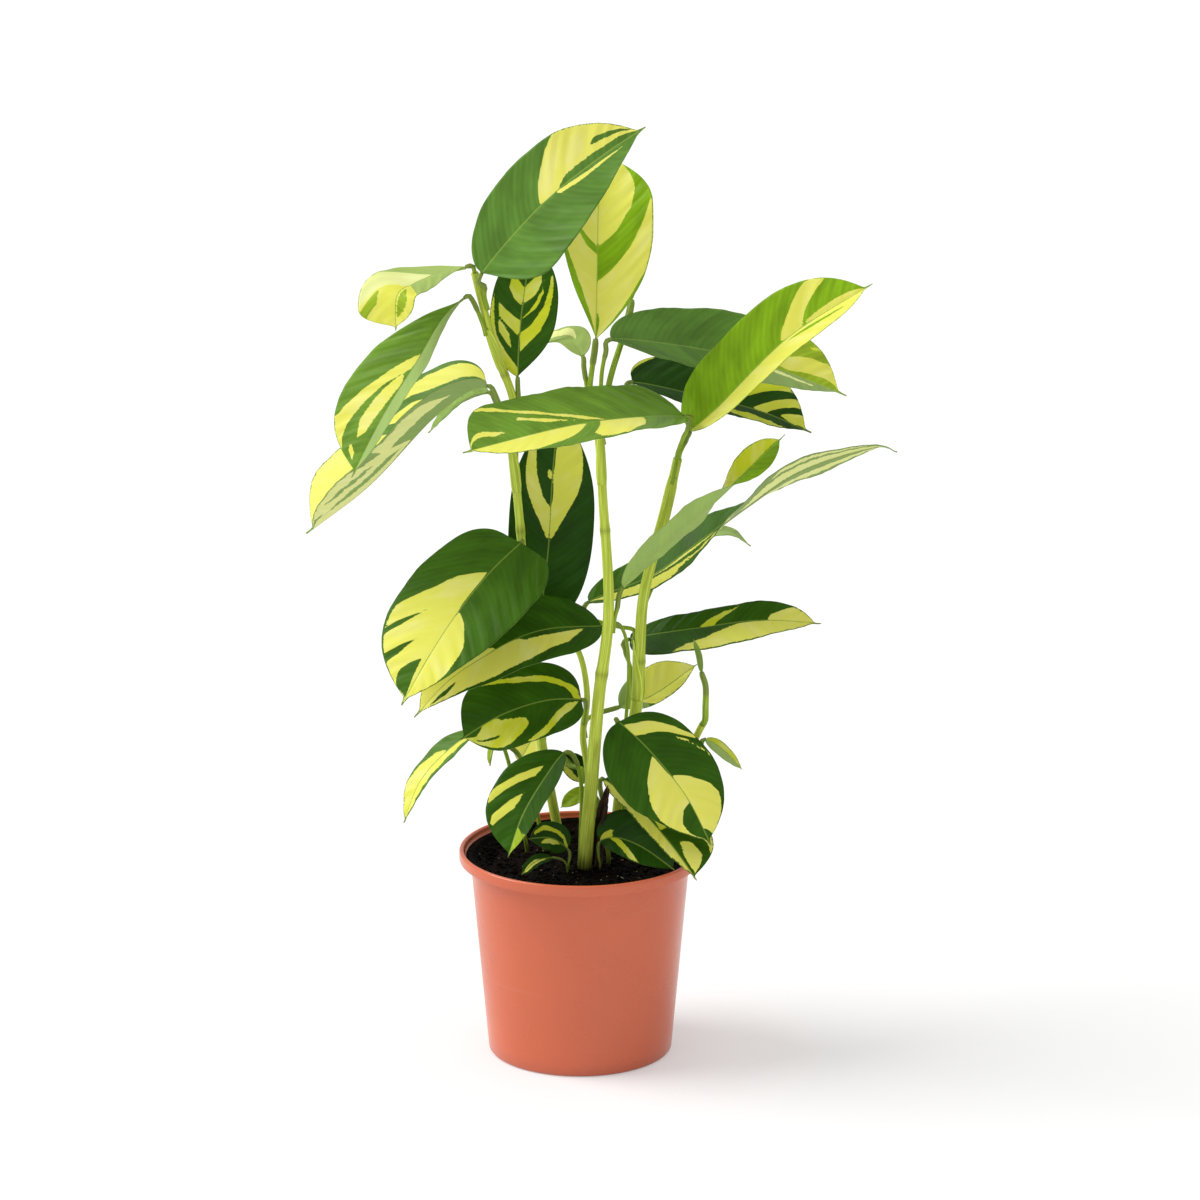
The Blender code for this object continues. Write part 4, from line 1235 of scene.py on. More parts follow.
             left(LEMON, (0.1, -0.1), (0.3, 0.4), (0.7, 0.5), (0.6, 0.1)),
         )),
    Leaf("leaf_soil_narrow", ("soil", (-9, -22)), ((-12, -22, 146),),
         ((-20, -25, 149), (-31, -34, 149), (-41, -46, 143)),
         (5, 5), (-0.3, -0.7, 0.7), radius=0.8, ground=Tissue.SHADE, patches=(
             left(YELLOW, (0.1, -0.1), (0.2, 0.4), (0.8, 0.5), (1.0, -0.1)),
             right(YELLOW, (0.2, -0.1), (0.4, 0.3), (0.8, 0.3), (0.9, -0.1)),
         )),
)


class Board:
    """A new material and the shader nodes that make it up.

    Attributes:
        material: the material.
        tree: its nodes and links.
        shader: its Principled shader.
    """

    def __init__(self, name: str, roughness: float, specular: float = 0.3) -> None:
        """Start a material.

        Args:
            name: its name.
            roughness: its roughness where nothing drives it.
            specular: how strong its reflections are, with 0.5 the usual.
        """
        self.material = bpy.data.materials.new(name)
        self.material.use_nodes = True
        self.tree = self.material.node_tree
        self.shader = self.tree.nodes["Principled BSDF"]
        self.shader.inputs["Roughness"].default_value = roughness
        self.shader.inputs["Specular IOR Level"].default_value = specular

    def add(self, kind: str, **settings: object) -> bpy.types.Node:
        """Add a node.

        Args:
            kind: its type.
            settings: properties to set on it.

        Returns:
            The node.
        """
        node = self.tree.nodes.new(kind)
        for key, value in settings.items():
            setattr(node, key, value)
        return node

    def join(self, source: object, target: object) -> None:
        """Set or link an input.

        Args:
            source: a number, a colour or another node's output.
            target: the input.
        """
        if isinstance(source, Socket):
            self.tree.links.new(source, target)
        elif isinstance(source, tuple) and len(source) == 3 and target.type == "RGBA":
            target.default_value = (*source, 1.0)
        else:
            target.default_value = source

    def value(self, name: str, part: str) -> Socket:
        """Read a painted layer of the mesh.

        Args:
            name: the layer.
            part: the output to read: Color, Vector, Fac or Alpha.

        Returns:
            The socket.
        """
        return self.add("ShaderNodeAttribute", attribute_name=name).outputs[part]

    def parts(self, vector: object) -> tuple[Socket, ...]:
        """Split a vector or colour.

        Args:
            vector: what is split.

        Returns:
            Its three numbers.
        """
        split = self.add("ShaderNodeSeparateXYZ")
        self.join(vector, split.inputs[0])
        return tuple(split.outputs)

    def whole(self, x: object, y: object, z: object) -> Socket:
        """Make a vector of three numbers.

        Args:
            x: the first.
            y: the second.
            z: the third.

        Returns:
            The socket.
        """
        node = self.add("ShaderNodeCombineXYZ")
        for source, target in zip((x, y, z), node.inputs):
            self.join(source, target)
        return node.outputs[0]

    def sum(self, kind: str, *sources: object) -> Socket:
        """The result of a Math node.

        Args:
            kind: the operation.
            sources: its values.

        Returns:
            The socket.
        """
        node = self.add("ShaderNodeMath", operation=kind)
        for source, target in zip(sources, node.inputs):
            self.join(source, target)
        return node.outputs[0]

    def ramp(self, source: object, low: float, high: float, start: float = 0.0,
             end: float = 1.0) -> Socket:
        """Turn the range low to high smoothly into start to end.

        Args:
            source: what is read.
            low: where the change starts.
            high: where it ends.
            start: the result at low.
            end: the result at high.

        Returns:
            The socket.
        """
        node = self.add("ShaderNodeMapRange", interpolation_type="SMOOTHSTEP")
        for place, item in enumerate((source, low, high, start, end)):
            self.join(item, node.inputs[place])
        return node.outputs[0]

    def mix(self, share: object, first: object, second: object, kind: str = "MIX") -> Socket:
        """Blend two colours.

        Args:
            share: how much of the second.
            first: the first colour.
            second: the second colour.
            kind: how they blend.

        Returns:
            The socket.
        """
        node = self.add("ShaderNodeMix", data_type="RGBA", blend_type=kind)
        self.join(share, node.inputs[0])
        self.join(first, node.inputs[6])
        self.join(second, node.inputs[7])
        return node.outputs[2]

    def grain(self, vector: object, scale: float, detail: float = 2.0,
              roughness: float = 0.5) -> Socket:
        """A noise, 0 to 1.

        Args:
            vector: where it is read.
            scale: its scale.
            detail: how many finer layers it has.
            roughness: how strong they are.

        Returns:
            The socket.
        """
        node = self.add("ShaderNodeTexNoise")
        self.join(vector, node.inputs["Vector"])
        self.join(scale, node.inputs["Scale"])
        self.join(detail, node.inputs["Detail"])
        self.join(roughness, node.inputs["Roughness"])
        return node.outputs["Fac"]

    def stretched(self, axes: tuple[object, ...], scales: tuple[float, ...], detail: float,
                  last: object = None) -> Socket:
        """A noise with its own scale along each axis.

        Args:
            axes: the two or three numbers that it is read along.
            scales: their scales.
            detail: how many finer layers it has.
            last: the third number, used as it is where there are two axes.

        Returns:
            The socket.
        """
        scaled = [self.sum("MULTIPLY", axis, scale) for axis, scale in zip(axes, scales)]
        if last is not None:
            scaled.append(last)
        return self.grain(self.whole(*scaled), 1.0, detail)

    def place(self) -> Socket:
        """The place on the object, in metres."""
        return self.add("ShaderNodeTexCoord").outputs["Object"]

    def relief(self, height: object, depth: float, strength: float) -> None:
        """Drive the shader's normal by a height.

        Args:
            height: the height, 0 to 1.
            depth: what a height of 1 stands for, in metres.
            strength: how much of it shows.
        """
        node = self.add("ShaderNodeBump")
        node.inputs["Strength"].default_value = strength
        node.inputs["Distance"].default_value = depth
        self.join(height, node.inputs["Height"])
        self.join(node.outputs["Normal"], self.shader.inputs["Normal"])


@dataclass(frozen=True)
class PlantFinish:
    """The satin skin of leaves, stalks and canes.

    Attributes:
        butter: the pale yellow of the markings.
        cream: the palest of it.
        milk_and_glow: the pale cream veil on the yellow of a leaf's underside, partly its own colour and
            partly
        painted light that stands for light shining through the leaf.
        lemon: the lime yellow of markings, partly a real tint and partly painted shade on the yellow.
        lime: the lighter green of lime markings.
        straw: the deeper yellow of the streaks in the yellow.
        olive: the greenish flecks in it.
        midrib: the pale green of the midrib.
        bloom: the grey-green of the undersides, also laid on some upper halves as a painted sheen.
        groove: what darkens the grooves of stalks and canes: partly their own stripes, partly painted
            shade in the grooves.
        ridge: the pale green of their ridges: partly their own stripes, partly a painted sheen.
        dirt: the brown of the canes' feet.
        roughness: the upper side's roughness.
        specular: how strong its reflections are.
    """

    butter: int = 0xE6E366
    cream: int = 0xECE896
    milk_and_glow: int = 0xE6F2C4
    lemon: int = 0xC8D01E
    lime: int = 0x98B22A
    straw: int = 0xD6D448
    olive: int = 0xB4BE3A
    midrib: int = 0xA0B850
    bloom: int = 0xA8BE78
    groove: int = 0xD0D0B4
    ridge: int = 0xE0E6A8
    dirt: int = 0x2A2010
    roughness: float = 0.40
    specular: float = 0.11

    def make(self) -> Material:
        """Make the material.

        Returns:
            The material.
        """
        board = Board("plant_skin", self.roughness, self.specular)
        ground = board.value("tissue", "Color")
        bladed = board.value("tissue", "Alpha")
        yellow, lime, under = board.parts(board.value("marks", "Color"))
        gold_and_shade = board.value("marks", "Alpha")
        along, aside, vein = board.parts(board.value("spot", "Vector"))
        streaks = board.stretched((vein, aside), (620.0, 55.0), 3.0, 0.0)
        clouds = board.stretched((vein, aside), (60.0, 40.0), 2.0, 3.0)
        edge = board.sum("MULTIPLY", board.sum("SUBTRACT", streaks, 0.5), 0.22)
        yellow = board.ramp(board.sum("ADD", yellow, edge), 0.475, 0.525)
        lime = board.ramp(board.sum("ADD", lime, edge), 0.44, 0.56)
        fine = board.stretched((vein, aside), (1500.0, 90.0), 2.0, 7.0)
        quill = board.sum("SINE", board.sum("MULTIPLY", vein, FULL_TURN / HABIT.vein_pitch))
        bands = board.sum("MULTIPLY_ADD", quill, 0.05, 0.975)
        bands = board.sum("MULTIPLY", bands, board.ramp(clouds, 0.25, 0.75, 0.80, 1.20))
        bands = board.sum("MULTIPLY", bands, board.ramp(fine, 0.2, 0.8, 0.93, 1.07))
        green = board.mix(1.0, ground, board.whole(bands, bands, bands), "MULTIPLY")
        light = board.mix(1.0, linear(self.lime), board.whole(bands, bands, bands), "MULTIPLY")
        green = board.mix(lime, green, light)
        # The lime yellow mixed in here partly stands for painted shade on the yellow.
        paint = board.mix(gold_and_shade, linear(self.butter), linear(self.lemon))
        paint = board.mix(board.ramp(clouds, 0.42, 0.75, 0.0, 0.55), paint, linear(self.cream))
        paint = board.mix(board.ramp(streaks, 0.55, 0.85, 0.0, 0.35), paint, linear(self.straw))
        paint = board.mix(board.ramp(fine, 0.62, 0.80, 0.0, 0.18), paint, linear(self.olive))
        colour = board.mix(yellow, green, paint)
        rib = board.ramp(board.sum("ABSOLUTE", aside), 0.0003, 0.0007, 0.42, 0.0)
        colour = board.mix(rib, colour, linear(self.midrib))
        # Undersides and BLOOM halves take a veil: grey-green, a painted sheen where it lies on an upper half,
        # and on yellow a pale milk that is partly painted light shining through the leaf.
        haze_sheen_and_glow = board.mix(yellow, linear(self.bloom), linear(self.milk_and_glow))
        veil = board.mix(board.ramp(yellow, 0.0, 1.0, 0.62, 0.45), colour, haze_sheen_and_glow)
        colour = board.mix(board.ramp(under, 0.3, 0.7), colour, veil)
        # Stalks and canes: darker grooves and paler ridges along the stripes, partly their own stripes and
        # partly painted shade and a painted sheen.
        stripes = board.stretched((along, aside), (30.0, 900.0), 3.0, vein)
        share = board.ramp(stripes, 0.35, 0.7)
        stalk = board.mix(share, board.mix(1.0, ground, linear(self.groove), "MULTIPLY"), ground)
        stalk = board.mix(board.ramp(stripes, 0.62, 0.8, 0.0, 0.35), stalk, linear(self.ridge))
        height = board.parts(board.place())[2]
        dirt = board.ramp(board.sum("MULTIPLY_ADD", stripes, 0.012, height), 0.142, 0.158, 0.8, 0.0)
        stalk = board.mix(dirt, stalk, linear(self.dirt))
        colour = board.mix(bladed, stalk, colour)
        board.join(colour, board.shader.inputs["Base Color"])
        rough = board.ramp(clouds, 0.2, 0.8, self.roughness - 0.05, self.roughness + 0.07)
        rough = board.sum("ADD", rough, board.sum("MULTIPLY", under, 0.16))
        board.join(rough, board.shader.inputs["Roughness"])
        rough = board.sum("MULTIPLY_ADD", fine, 0.35, board.sum("MULTIPLY", streaks, 0.5))
        rough = board.sum("ADD", rough, board.sum("MULTIPLY", stripes, board.sum("SUBTRACT", 1.0, bladed)))
        board.relief(rough, 0.0004, 0.35)
        return board.material


@dataclass(frozen=True)
class PlasticFinish:
    """Moulded terracotta-coloured plastic.

    Attributes:
        colour: its colour.
        cloud: the duller colour of its faint clouds.
        scuffed: the paler colour where it is rubbed.
        foot: the darker colour towards its bottom.
    """

    colour: int = 0xCE6440
    cloud: int = 0xBC5C3E
    scuffed: int = 0xD08870
    foot: int = 0x9A5540

    def make(self) -> Material:
        """Make the material.

        Returns:
            The material.
        """
        board = Board("pot_plastic_skin", 0.26, 0.5)
        place = board.place()
        clouds = board.grain(place, 16.0, 3.0)
        pores = board.grain(place, 1400.0, 2.0)
        x, y, z = board.parts(place)
        flow = board.stretched((x, y, z), (10.0, 10.0, 260.0), 2.0)
        colour = board.mix(board.ramp(clouds, 0.3, 0.75, 0.0, 0.30), linear(self.colour), linear(self.cloud))
        colour = board.mix(board.ramp(flow, 0.62, 0.85, 0.0, 0.16), colour, linear(self.scuffed))
        # Darker towards the bottom, over the lowest 12 mm.
        colour = board.mix(board.ramp(z, 0.0, 0.012, 0.30, 0.0), colour, linear(self.foot))
        board.join(colour, board.shader.inputs["Base Color"])
        board.join(board.ramp(clouds, 0.2, 0.8, 0.22, 0.31), board.shader.inputs["Roughness"])
        board.relief(board.sum("MULTIPLY_ADD", flow, 0.6, board.sum("MULTIPLY", pores, 0.4)), 0.00012, 0.35)
        return board.material


@dataclass(frozen=True)
class SoilFinish:
    """Moist dark potting soil.

    Attributes:
        dark: its darkest colour.
        light: the colour of its drier crumbs.
    """

    dark: int = 0x080402
    light: int = 0x2E1A0C

    def make(self) -> Material:
        """Make the material.

        Returns:
            The material.
        """
        board = Board("soil_skin", 0.95, 0.06)
        place = board.place()
        crumbs = board.grain(place, 420.0, 5.0, 0.65)
        clods = board.grain(place, 90.0, 4.0, 0.6)
        share = board.sum("MULTIPLY", board.ramp(crumbs, 0.42, 0.72), board.ramp(clods, 0.35, 0.75))
        colour = board.mix(share, linear(self.dark), linear(self.light))
        board.join(colour, board.shader.inputs["Base Color"])
        board.join(board.ramp(crumbs, 0.3, 0.7, 0.98, 0.72), board.shader.inputs["Roughness"])
        board.relief(board.sum("MULTIPLY_ADD", clods, 0.4, crumbs), 0.0012, 0.8)
        return board.material


@dataclass(frozen=True)
class SpeckFinish:
    """Pale mineral grains and bark bits in the soil.

    Attributes:
        pale: the grains' colour.
        brown: the bark's colour.
        stain: the dark of the soil on both.
    """

    pale: int = 0xA89A84
    brown: int = 0x4A3524
    stain: int = 0x2A2018

    def make(self) -> Material:
        """Make the material.

        Returns:
            The material.
        """
        board = Board("speck_skin", 0.85)
        place = board.place()
        patch = board.grain(place, 150.0, 1.0)
        rough = board.grain(place, 900.0, 3.0)
        colour = board.mix(board.ramp(patch, 0.46, 0.56), linear(self.brown), linear(self.pale))
        colour = board.mix(board.ramp(rough, 0.3, 0.7, 0.0, 0.45), colour, linear(self.stain))
        board.join(colour, board.shader.inputs["Base Color"])
        board.relief(rough, 0.0004, 0.6)
        return board.material


@dataclass(frozen=True)
class HuskFinish:
    """The dry brown sheath round the front cane's foot.

    Attributes:
        colour: its colour.
        worn: its paler colour.
    """

    colour: int = 0x241810
    worn: int = 0x57402A

    def make(self) -> Material:
        """Make the material.

        Returns:
            The material.
        """
        board = Board("husk_skin", 0.7)
        x, y, z = board.parts(board.place())
        fibres = board.stretched((x, y, z), (1500.0, 1500.0, 40.0), 3.0)
        colour = board.mix(board.ramp(fibres, 0.35, 0.75), linear(self.colour), linear(self.worn))
        board.join(colour, board.shader.inputs["Base Color"])
        board.relief(fibres, 0.0003, 0.6)
        return board.material


def wall_radius(height: float) -> float:
    """The outer radius of the pot's wall at a height."""
    return BASE_RADIUS + (NECK_RADIUS - BASE_RADIUS) * height / POT_HEIGHT


def circle(radius: float, height: float, count: int, middle: Pair = (0.0, 0.0)) -> list[Triple]:
    """Place points round a circle.

    Args:
        radius: its radius.
        height: its height.
        count: how many points it has.
        middle: its centre.

    Returns:
        The points.
    """
    x, y = middle
    turns = [FULL_TURN * k / count for k in range(count)]
    return [(x + radius * math.cos(turn), y + radius * math.sin(turn), height) for turn in turns]


@dataclass(frozen=True)
class NurseryPot:
    """The tapered plastic pot with its wider rim.

    Attributes:
        sides: how many flat sides stand in for a round.
        hole_sides: how many stand in for a drain hole's.
        rim: the rim's thickness.
        edge: the round of the rim's lower edge.
        foot: the round of the pot's lower edge.
        drains: how many holes its floor has.
        drain_radius: their radius.
        drain_ring: the radius of the ring that they lie on.
        ease: the small step by which the shoulder's and the floor's corners are eased.
        crease: the least angle between faces that stays sharp, in degrees.
    """

    sides: int = 168
    hole_sides: int = 24
    rim: float = 0.0034
    edge: float = 0.0014
    foot: float = 0.003
    drains: int = 8
    drain_radius: float = 0.0045
    drain_ring: float = 0.046
    ease: float = 0.0004
    crease: float = 38

    def profile(self) -> list[Pair]:
        """The section from the centre of the underside, up the outside and down the inside.

        Returns:
            Pairs of radius and height.
        """
        floor_ring = self.drain_ring * 1.25
        section = [(floor_ring, 0.0), (BASE_RADIUS - self.foot, 0.0)]
        for degrees in (20, 40, 60, 80):
            turn = math.radians(degrees)
            radius = wall_radius(self.foot) - self.foot * (1 - math.sin(turn))
            section.append((radius, self.foot * (1 - math.cos(turn))))
        for share in (0.12, 0.3, 0.5, 0.7, 0.88, 0.985):
            section.append((wall_radius(share * SHOULDER), share * SHOULDER))
        neck = wall_radius(SHOULDER)
        section += [(neck + self.ease, SHOULDER - self.ease), (neck + 3 * self.ease, SHOULDER)]
        section += [(RIM_RADIUS - self.edge, SHOULDER)]
        section += [(RIM_RADIUS - self.edge * 0.3, SHOULDER + self.edge * 0.3)]
        section += [(RIM_RADIUS, SHOULDER + self.edge), (RIM_RADIUS, POT_HEIGHT - self.rim * 0.9)]
        bead = self.rim / 2
        for degrees in range(0, 181, 18):
            turn = math.radians(degrees)
            height = POT_HEIGHT - bead + bead * math.sin(turn)
            section.append((RIM_RADIUS - bead + bead * math.cos(turn), height))
        inside, middle = neck - WALL, SHOULDER / 2
        section += [(RIM_RADIUS - self.rim, SHOULDER + 3.4 * self.edge)]
        section += [(RIM_RADIUS - self.rim - 2 * self.ease, SHOULDER + 2.4 * self.edge)]
        section += [(inside + 1.5 * self.ease, SHOULDER + self.ease), (inside, SHOULDER - 1.5 * self.ease)]
        section += [(wall_radius(middle) - WALL, middle)]
        floor_edge = wall_radius(FLOOR_THICKNESS) - WALL
        section += [(floor_edge - 2.5 * self.ease, FLOOR_THICKNESS + 2 * self.ease)]
        section += [(floor_edge - 5 * self.ease, FLOOR_THICKNESS), (floor_ring, FLOOR_THICKNESS)]
        return section

    def floor_faces(self, shape: bmesh.types.BMesh, height: float, ring: list[bmesh.types.BMVert],
                    holes: list[list[bmesh.types.BMVert]]) -> None:
        """Fill the floor's disc round its drain holes.

        Args:
            shape: the mesh in the making.
            height: the disc's height.
            ring: the points that the disc ends on.
            holes: each drain hole's points.
        """
        edges = []
        for loop in (ring, *holes):
            for ends in zip(loop, loop[1:] + loop[:1]):
                edges.append(shape.edges.get(ends) or shape.edges.new(ends))
        bmesh.ops.triangle_fill(shape, use_beauty=True, edges=edges, normal=(0, 0, 1 if height else -1))

    def make(self, material: Material) -> Piece:
        """Build the pot.

        Args:
            material: its plastic.

        Returns:
            The pot.
        """
        shape = bmesh.new()
        rings = []
        for radius, height in self.profile():
            rings.append([shape.verts.new(spot) for spot in circle(radius, height, self.sides)])
        for low, high in zip(rings, rings[1:]):
            for k in range(self.sides):
                after = (k + 1) % self.sides
                shape.faces.new((low[k], low[after], high[after], high[k]))
        levels = []
        for height in (0.0, FLOOR_THICKNESS):
            holes = []
            for d in range(self.drains):
                turn = FULL_TURN * (d + 0.5) / self.drains
                middle = (self.drain_ring * math.cos(turn), self.drain_ring * math.sin(turn))
                spots = circle(self.drain_radius, height, self.hole_sides, middle)
                holes.append([shape.verts.new(spot) for spot in spots])
            levels.append(holes)
        for low, high in zip(*levels):
            for k in range(self.hole_sides):
                after = (k + 1) % self.hole_sides
                shape.faces.new((low[k], high[k], high[after], low[after]))
        self.floor_faces(shape, 0.0, rings[0], levels[0])
        self.floor_faces(shape, FLOOR_THICKNESS, rings[-1], levels[1])
        mesh = bpy.data.meshes.new("nursery_pot")
        shape.to_mesh(mesh)
        shape.free()
        pot = finish_mesh("nursery_pot", mesh, material)
        pot.data.set_sharp_from_angle(angle=math.radians(self.crease))
        return pot


@dataclass(frozen=True)
class SoilBed:
    """The potting soil: an uneven bed with loose crumbs and pale specks on it.

    Attributes:
        rings: how many rings of points its surface has.
        spokes: how many points a ring has.
        relief: how much its surface rises and falls.
        bank: how far it rises against the pot's wall.
        crumbs: how many loose crumbs lie on it.
        specks: how many pale grains and bark bits lie on it.
        rim_gap: how far its edge stays from the rim's outside.
        crumb_sizes: the least and the greatest radius of a crumb.
        speck_sizes: the least and the greatest radius of a grain or bark bit.
    """

    rings: int = 60
    spokes: int = 200
    relief: float = 0.0022
    bank: float = 0.0095
    crumbs: int = 1100
    specks: int = 110
    rim_gap: float = 0.004
    crumb_sizes: Pair = (0.0005, 0.0019)
    speck_sizes: Pair = (0.0003, 0.0009)

    def edge(self, height: float) -> float:
        """The soil's radius at a height, just inside the pot's wall."""
        return wall_radius(height) - WALL - GAP

    def height(self, x: float, y: float) -> float:
        """The surface's height at a place.

        Args:
            x: the place's x.
            y: the place's y.

        Returns:
            The height.
        """
        big = noise.noise(Vector((x * 45, y * 45, 2.0)))
        small = noise.noise(Vector((x * 190, y * 190, 5.0)))
        fine = noise.noise(Vector((x * 520, y * 520, 9.0)))
        rise = self.bank * float(smooth_step(0.72, 1.0, np.array(math.hypot(x, y) / RIM_RADIUS)))
        return SOIL_TOP - 0.0006 + rise + self.relief * (0.55 * big + 0.38 * small + 0.22 * fine)

    def bed(self, material: Material) -> Piece:
        """Build the soil's body.

        Args:
            material: its finish.

        Returns:
            The bed.
        """
        rim = RIM_RADIUS - self.rim_gap
        points = [(0.0, 0.0, self.height(0.0, 0.0))]
        for i in range(1, self.rings + 1):
            radius = rim * i / self.rings
            for x, y, _ in circle(radius, 0.0, self.spokes):
                points.append((x, y, self.height(x, y) - 0.0012 * (radius / rim) ** 14))
        low, ledge, floor = self.edge(FLOOR_THICKNESS) - GAP, SHOULDER + 0.003, FLOOR_THICKNESS + GAP
        for radius, height in ((rim, ledge), (self.edge(SHOULDER), ledge), (low, floor), (low * 0.5, floor)):
            points += circle(radius, height, self.spokes)
        faces = strip_faces(self.rings + 4, self.spokes, closed=True, start=1)
        faces += [(0, 1 + k, 1 + (k + 1) % self.spokes) for k in range(self.spokes)]
        last = 1 + (self.rings + 3) * self.spokes
        faces.append(tuple(last + k for k in range(self.spokes)))
        mesh = bpy.data.meshes.new("soil_bed")
        mesh.from_pydata(points, [], faces)
        return finish_mesh("soil_bed", mesh, material)

    def scatter(self, name: str, count: int, sizes: Pair, stretch: float, seed: int,
                material: Material) -> Piece:
        """Lay small irregular bits on the soil.

        Args:
            name: the object's name.
            count: how many.
            sizes: the least and the greatest radius of a bit.
            stretch: how much longer than wide a bit may be.
            seed: what sets their places.
            material: their finish.

        Returns:
            One object that holds them all.
        """
        dice = random.Random(seed)
        shape = bmesh.new()
        rim = self.edge(SOIL_TOP) - sizes[1]
        for _ in range(count):
            radius = rim * math.sqrt(dice.random())
            turn = dice.uniform(0, FULL_TURN)
            x, y = radius * math.cos(turn), radius * math.sin(turn)
            size = sizes[0] + (sizes[1] - sizes[0]) * dice.random() ** 2.2
            bit = bmesh.ops.create_icosphere(shape, subdivisions=1, radius=size)["verts"]
            longer = dice.uniform(1.0, stretch)
            spin = dice.uniform(0, math.pi)
            sunk = self.height(x, y) + size * 0.25
            for vert in bit:
                vert.co *= dice.uniform(0.72, 1.25)
                vert.co.x *= longer
                vert.co.z *= 0.7
                a, b = vert.co.x, vert.co.y
                vert.co.x = a * math.cos(spin) - b * math.sin(spin) + x
                vert.co.y = a * math.sin(spin) + b * math.cos(spin) + y
                vert.co.z += sunk
        mesh = bpy.data.meshes.new(name)
        shape.to_mesh(mesh)
        shape.free()
        return finish_mesh(name, mesh, material)

    def make(self) -> list[Piece]:
        """Build the bed, its crumbs and its specks.

        Returns:
            The pieces, the bed first.
        """
        soil = SoilFinish().make()
        return [
            self.bed(soil),
            self.scatter("soil_crumbs", self.crumbs, self.crumb_sizes, 1.6, 11, soil),
            self.scatter("soil_specks", self.specks, self.speck_sizes, 3.2, 29, SpeckFinish().make()),
        ]


@dataclass(frozen=True)
class Husk:
    """The dry sheath round the front cane's foot, torn along its top edge.

    Attributes:
        low: its lower end on the cane, in metres from the foot.
        high: its upper end.
        opening: half the angle that it wraps at its foot, in degrees.
        shift: how far it stands from the cane's middle.
        facing: the way the middle of its wrap looks.
        grid: how many rows and columns of points it has.
        tear: how ragged its top edge is.
    """

    low: float = 0.001
    high: float = 0.058
    opening: float = 150.0
    shift: Triple = (0.0085, 0.003, 0.0)
    facing: Triple = (0.85, 0.5, 0.0)
    grid: tuple[int, int] = (26, 33)
    tear: float = 0.0025

    def make(self, cane: Cane, material: Material) -> Piece:
        """Build the sheath.

        Args:
            cane: the cane that it wraps.
            material: its finish.

        Returns:
            The sheath.
        """
        track = cane.track()
        rows, columns = self.grid
        levels = np.linspace(0, 1, rows)
        places, headings = track.at(self.low + (self.high - self.low) * levels)
        places = places + np.array(self.shift)
        sheet = []
        for k, (place, heading, level) in enumerate(zip(places, headings, levels)):
            axis = unit(np.array(self.facing) - heading * heading[0])
            reach = math.radians(self.opening * (1 - 0.72 * level**2))
            angles = np.linspace(-reach, reach, columns)
            crinkle = 0.0003 * np.sin(angles * 9 + k * 0.7) + 0.00025 * np.sin(angles * 17 - k)
            radius = cane.radius(level * 0.2) * 0.72 + GAP + 0.0006 * level + crinkle * (0.4 + level)
            torn = self.tear * level**3 * np.sin(angles * 4 + 1)
            spread = fan(axis, heading, angles) * radius[:, None]
            sheet.append(place + spread + heading * torn[:, None])
        outer = np.array(sheet)
        inner = outer - (outer - places[:, None, :]) * 0.05
        faces = strip_faces(rows, columns)
        count = rows * columns
        faces += [tuple(c + count for c in face[::-1]) for face in strip_faces(rows, columns)]
        faces += [tuple(c + count for c in face) for face in Leaf.rim_faces(rows, columns)]
        mesh = bpy.data.meshes.new("cane_husk")
        mesh.from_pydata(np.vstack([outer.reshape(-1, 3), inner.reshape(-1, 3)]).tolist(), [], faces)
        return finish_mesh("cane_husk", mesh, material)


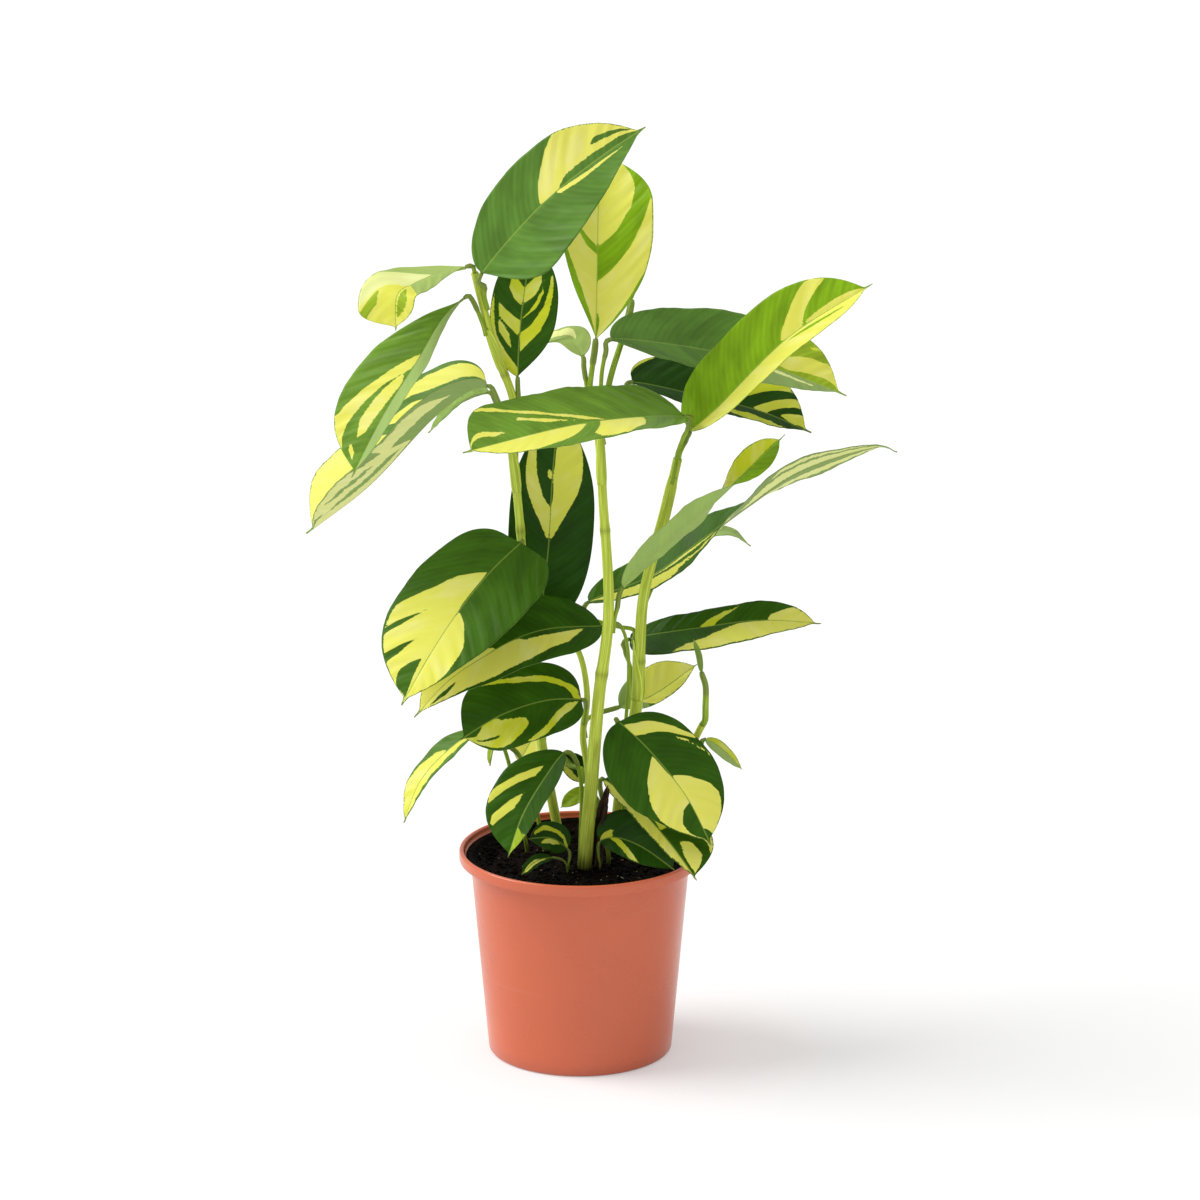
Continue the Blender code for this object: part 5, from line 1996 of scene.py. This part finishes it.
@dataclass(frozen=True)
class Studio:
    """The pale floor, the soft light and the camera.

    Attributes:
        floor_colour: the floor's colour.
        floor_half: half the floor's width.
        glow: how much of the floor's white is its own, as the camera sees it.
        sky: the strength of the light from all round.
        sun: the strength of the key light.
        sun_spread: how soft its shadow is, in degrees.
        sun_from: where it comes from.
        pitch: how far the camera looks down, in degrees.
        distance: how far it stands from its aim.
        aim: the point at the middle of its view.
        lens: its focal length, in mm.
    """

    floor_colour: Triple = (0.92, 0.92, 0.92)
    floor_half: float = 14.0
    glow: float = 0.30
    sky: float = 0.68
    sun: float = 2.3
    sun_spread: float = 40.0
    sun_from: Triple = (-0.95, 0.06, 1.0)
    pitch: float = 16.3
    distance: float = 4.5
    aim: Triple = (0.014, 0.0, 0.3295)
    lens: float = 194.1

    def floor(self) -> Piece:
        """Lay the floor.

        Returns:
            The floor.
        """
        board = Board("floor_skin", 0.9)
        dust = board.grain(board.place(), 7.0, 3.0)
        shade = board.mix(dust, self.floor_colour, tuple(c * 0.985 for c in self.floor_colour))
        rays = board.add("ShaderNodeLightPath")
        seen = board.sum("ADD", rays.outputs["Is Camera Ray"], rays.outputs["Is Glossy Ray"])
        seen = board.sum("MINIMUM", board.sum("ADD", seen, rays.outputs["Is Transmission Ray"]), 1.0)
        board.join(board.mix(seen, shade, tuple(c * (1.0 - self.glow) for c in self.floor_colour)),
                   board.shader.inputs["Base Color"])
        board.shader.inputs["Emission Color"].default_value = (1.0, 1.0, 1.0, 1.0)
        board.join(board.sum("MULTIPLY", seen, self.glow), board.shader.inputs["Emission Strength"])
        mesh = bpy.data.meshes.new("studio_floor")
        far = self.floor_half
        corners = [(-far, -far, 0), (far, -far, 0), (far, far, 0), (-far, far, 0)]
        mesh.from_pydata(corners, [], [(0, 1, 2, 3)])
        mesh.materials.append(board.material)
        ground = bpy.data.objects.new("studio_floor", mesh)
        bpy.context.scene.collection.objects.link(ground)
        return ground

    def light(self) -> None:
        """Light the scene: a white surround for the camera, a soft even sky and one soft key."""
        bpy.context.scene.view_settings.view_transform = "Standard"
        world = bpy.data.worlds.new("studio")
        bpy.context.scene.world = world
        world.use_nodes = True
        nodes, links = world.node_tree.nodes, world.node_tree.links
        background = nodes["Background"]
        background.inputs["Color"].default_value = (1.0, 1.0, 1.0, 1.0)
        rays = nodes.new("ShaderNodeLightPath")
        strength = nodes.new("ShaderNodeMapRange")
        strength.inputs["To Min"].default_value = self.sky
        strength.inputs["To Max"].default_value = 1.0
        links.new(rays.outputs["Is Camera Ray"], strength.inputs["Value"])
        links.new(strength.outputs["Result"], background.inputs["Strength"])
        key = bpy.data.lights.new("key", "SUN")
        key.energy = self.sun
        key.angle = math.radians(self.sun_spread)
        lamp = bpy.data.objects.new("key", key)
        lamp.rotation_euler = Vector(self.sun_from).to_track_quat("Z", "Y").to_euler()
        bpy.context.scene.collection.objects.link(lamp)

    def camera(self) -> None:
        """Set up the camera."""
        eye = bpy.data.cameras.new("camera")
        eye.lens = self.lens
        eye.sensor_width = 36.0
        eye.clip_end = 60.0
        holder = bpy.data.objects.new("camera", eye)
        turn = math.radians(self.pitch)
        x, y, z = self.aim
        holder.location = (x, y - self.distance * math.cos(turn), z + self.distance * math.sin(turn))
        holder.rotation_euler = (math.pi / 2 - turn, 0.0, 0.0)
        bpy.context.scene.collection.objects.link(holder)
        bpy.context.scene.camera = holder

    def make(self) -> Piece:
        """Set up everything.

        Returns:
            The floor.
        """
        self.light()
        self.camera()
        return self.floor()


@dataclass(frozen=True)
class Plant:
    """All the canes and leaves.

    Attributes:
        canes: the canes.
        leaves: the leaves.
    """

    canes: tuple[Cane, ...]
    leaves: tuple[Leaf, ...]

    def make(self, material: Material) -> None:
        """Build every cane and leaf, each in place of its node.

        Args:
            material: the plant's finish.
        """
        by_name = {cane.name: cane for cane in self.canes}
        slots = {part["node"]: part["material_slot"] for part in frame["record"]["subparts"]}
        for cane in self.canes:
            settle(cane.shell().make(cane.name + "_skin", material), slots[cane.name], cane.name)
        for number, leaf in enumerate(self.leaves):
            piece = leaf.shell(by_name, number + 1.0).make(leaf.name + "_skin", material)
            settle(piece, slots[leaf.name], leaf.name)


def settle(piece: Piece, slot: str, *nodes: str) -> None:
    """Fix a piece to the frame.

    Args:
        piece: the piece.
        slot: the record's material slot; not used.
        nodes: the nodes that it stands for.
    """
    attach(piece, ROOT)
    if nodes:
        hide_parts(*nodes)
    log.info("%s: %d faces", piece.name, len(piece.data.polygons))


def main() -> None:
    """Build the pot, the soil, the plant and the studio."""
    logging.basicConfig(level=logging.INFO, format="%(name)s %(message)s")
    settle(NurseryPot().make(PlasticFinish().make()), "pot_plastic", "pot")
    bed, *loose = SoilBed().make()
    settle(bed, "potting_soil", "potting_soil")
    for piece in loose:
        settle(piece, "potting_soil")
    plant = Plant(CANES, LEAVES)
    plant.make(PlantFinish().make())
    settle(Husk().make(CANES[0], HuskFinish().make()), "cane")
    Studio().make()


if __name__ == "__main__":
    main()
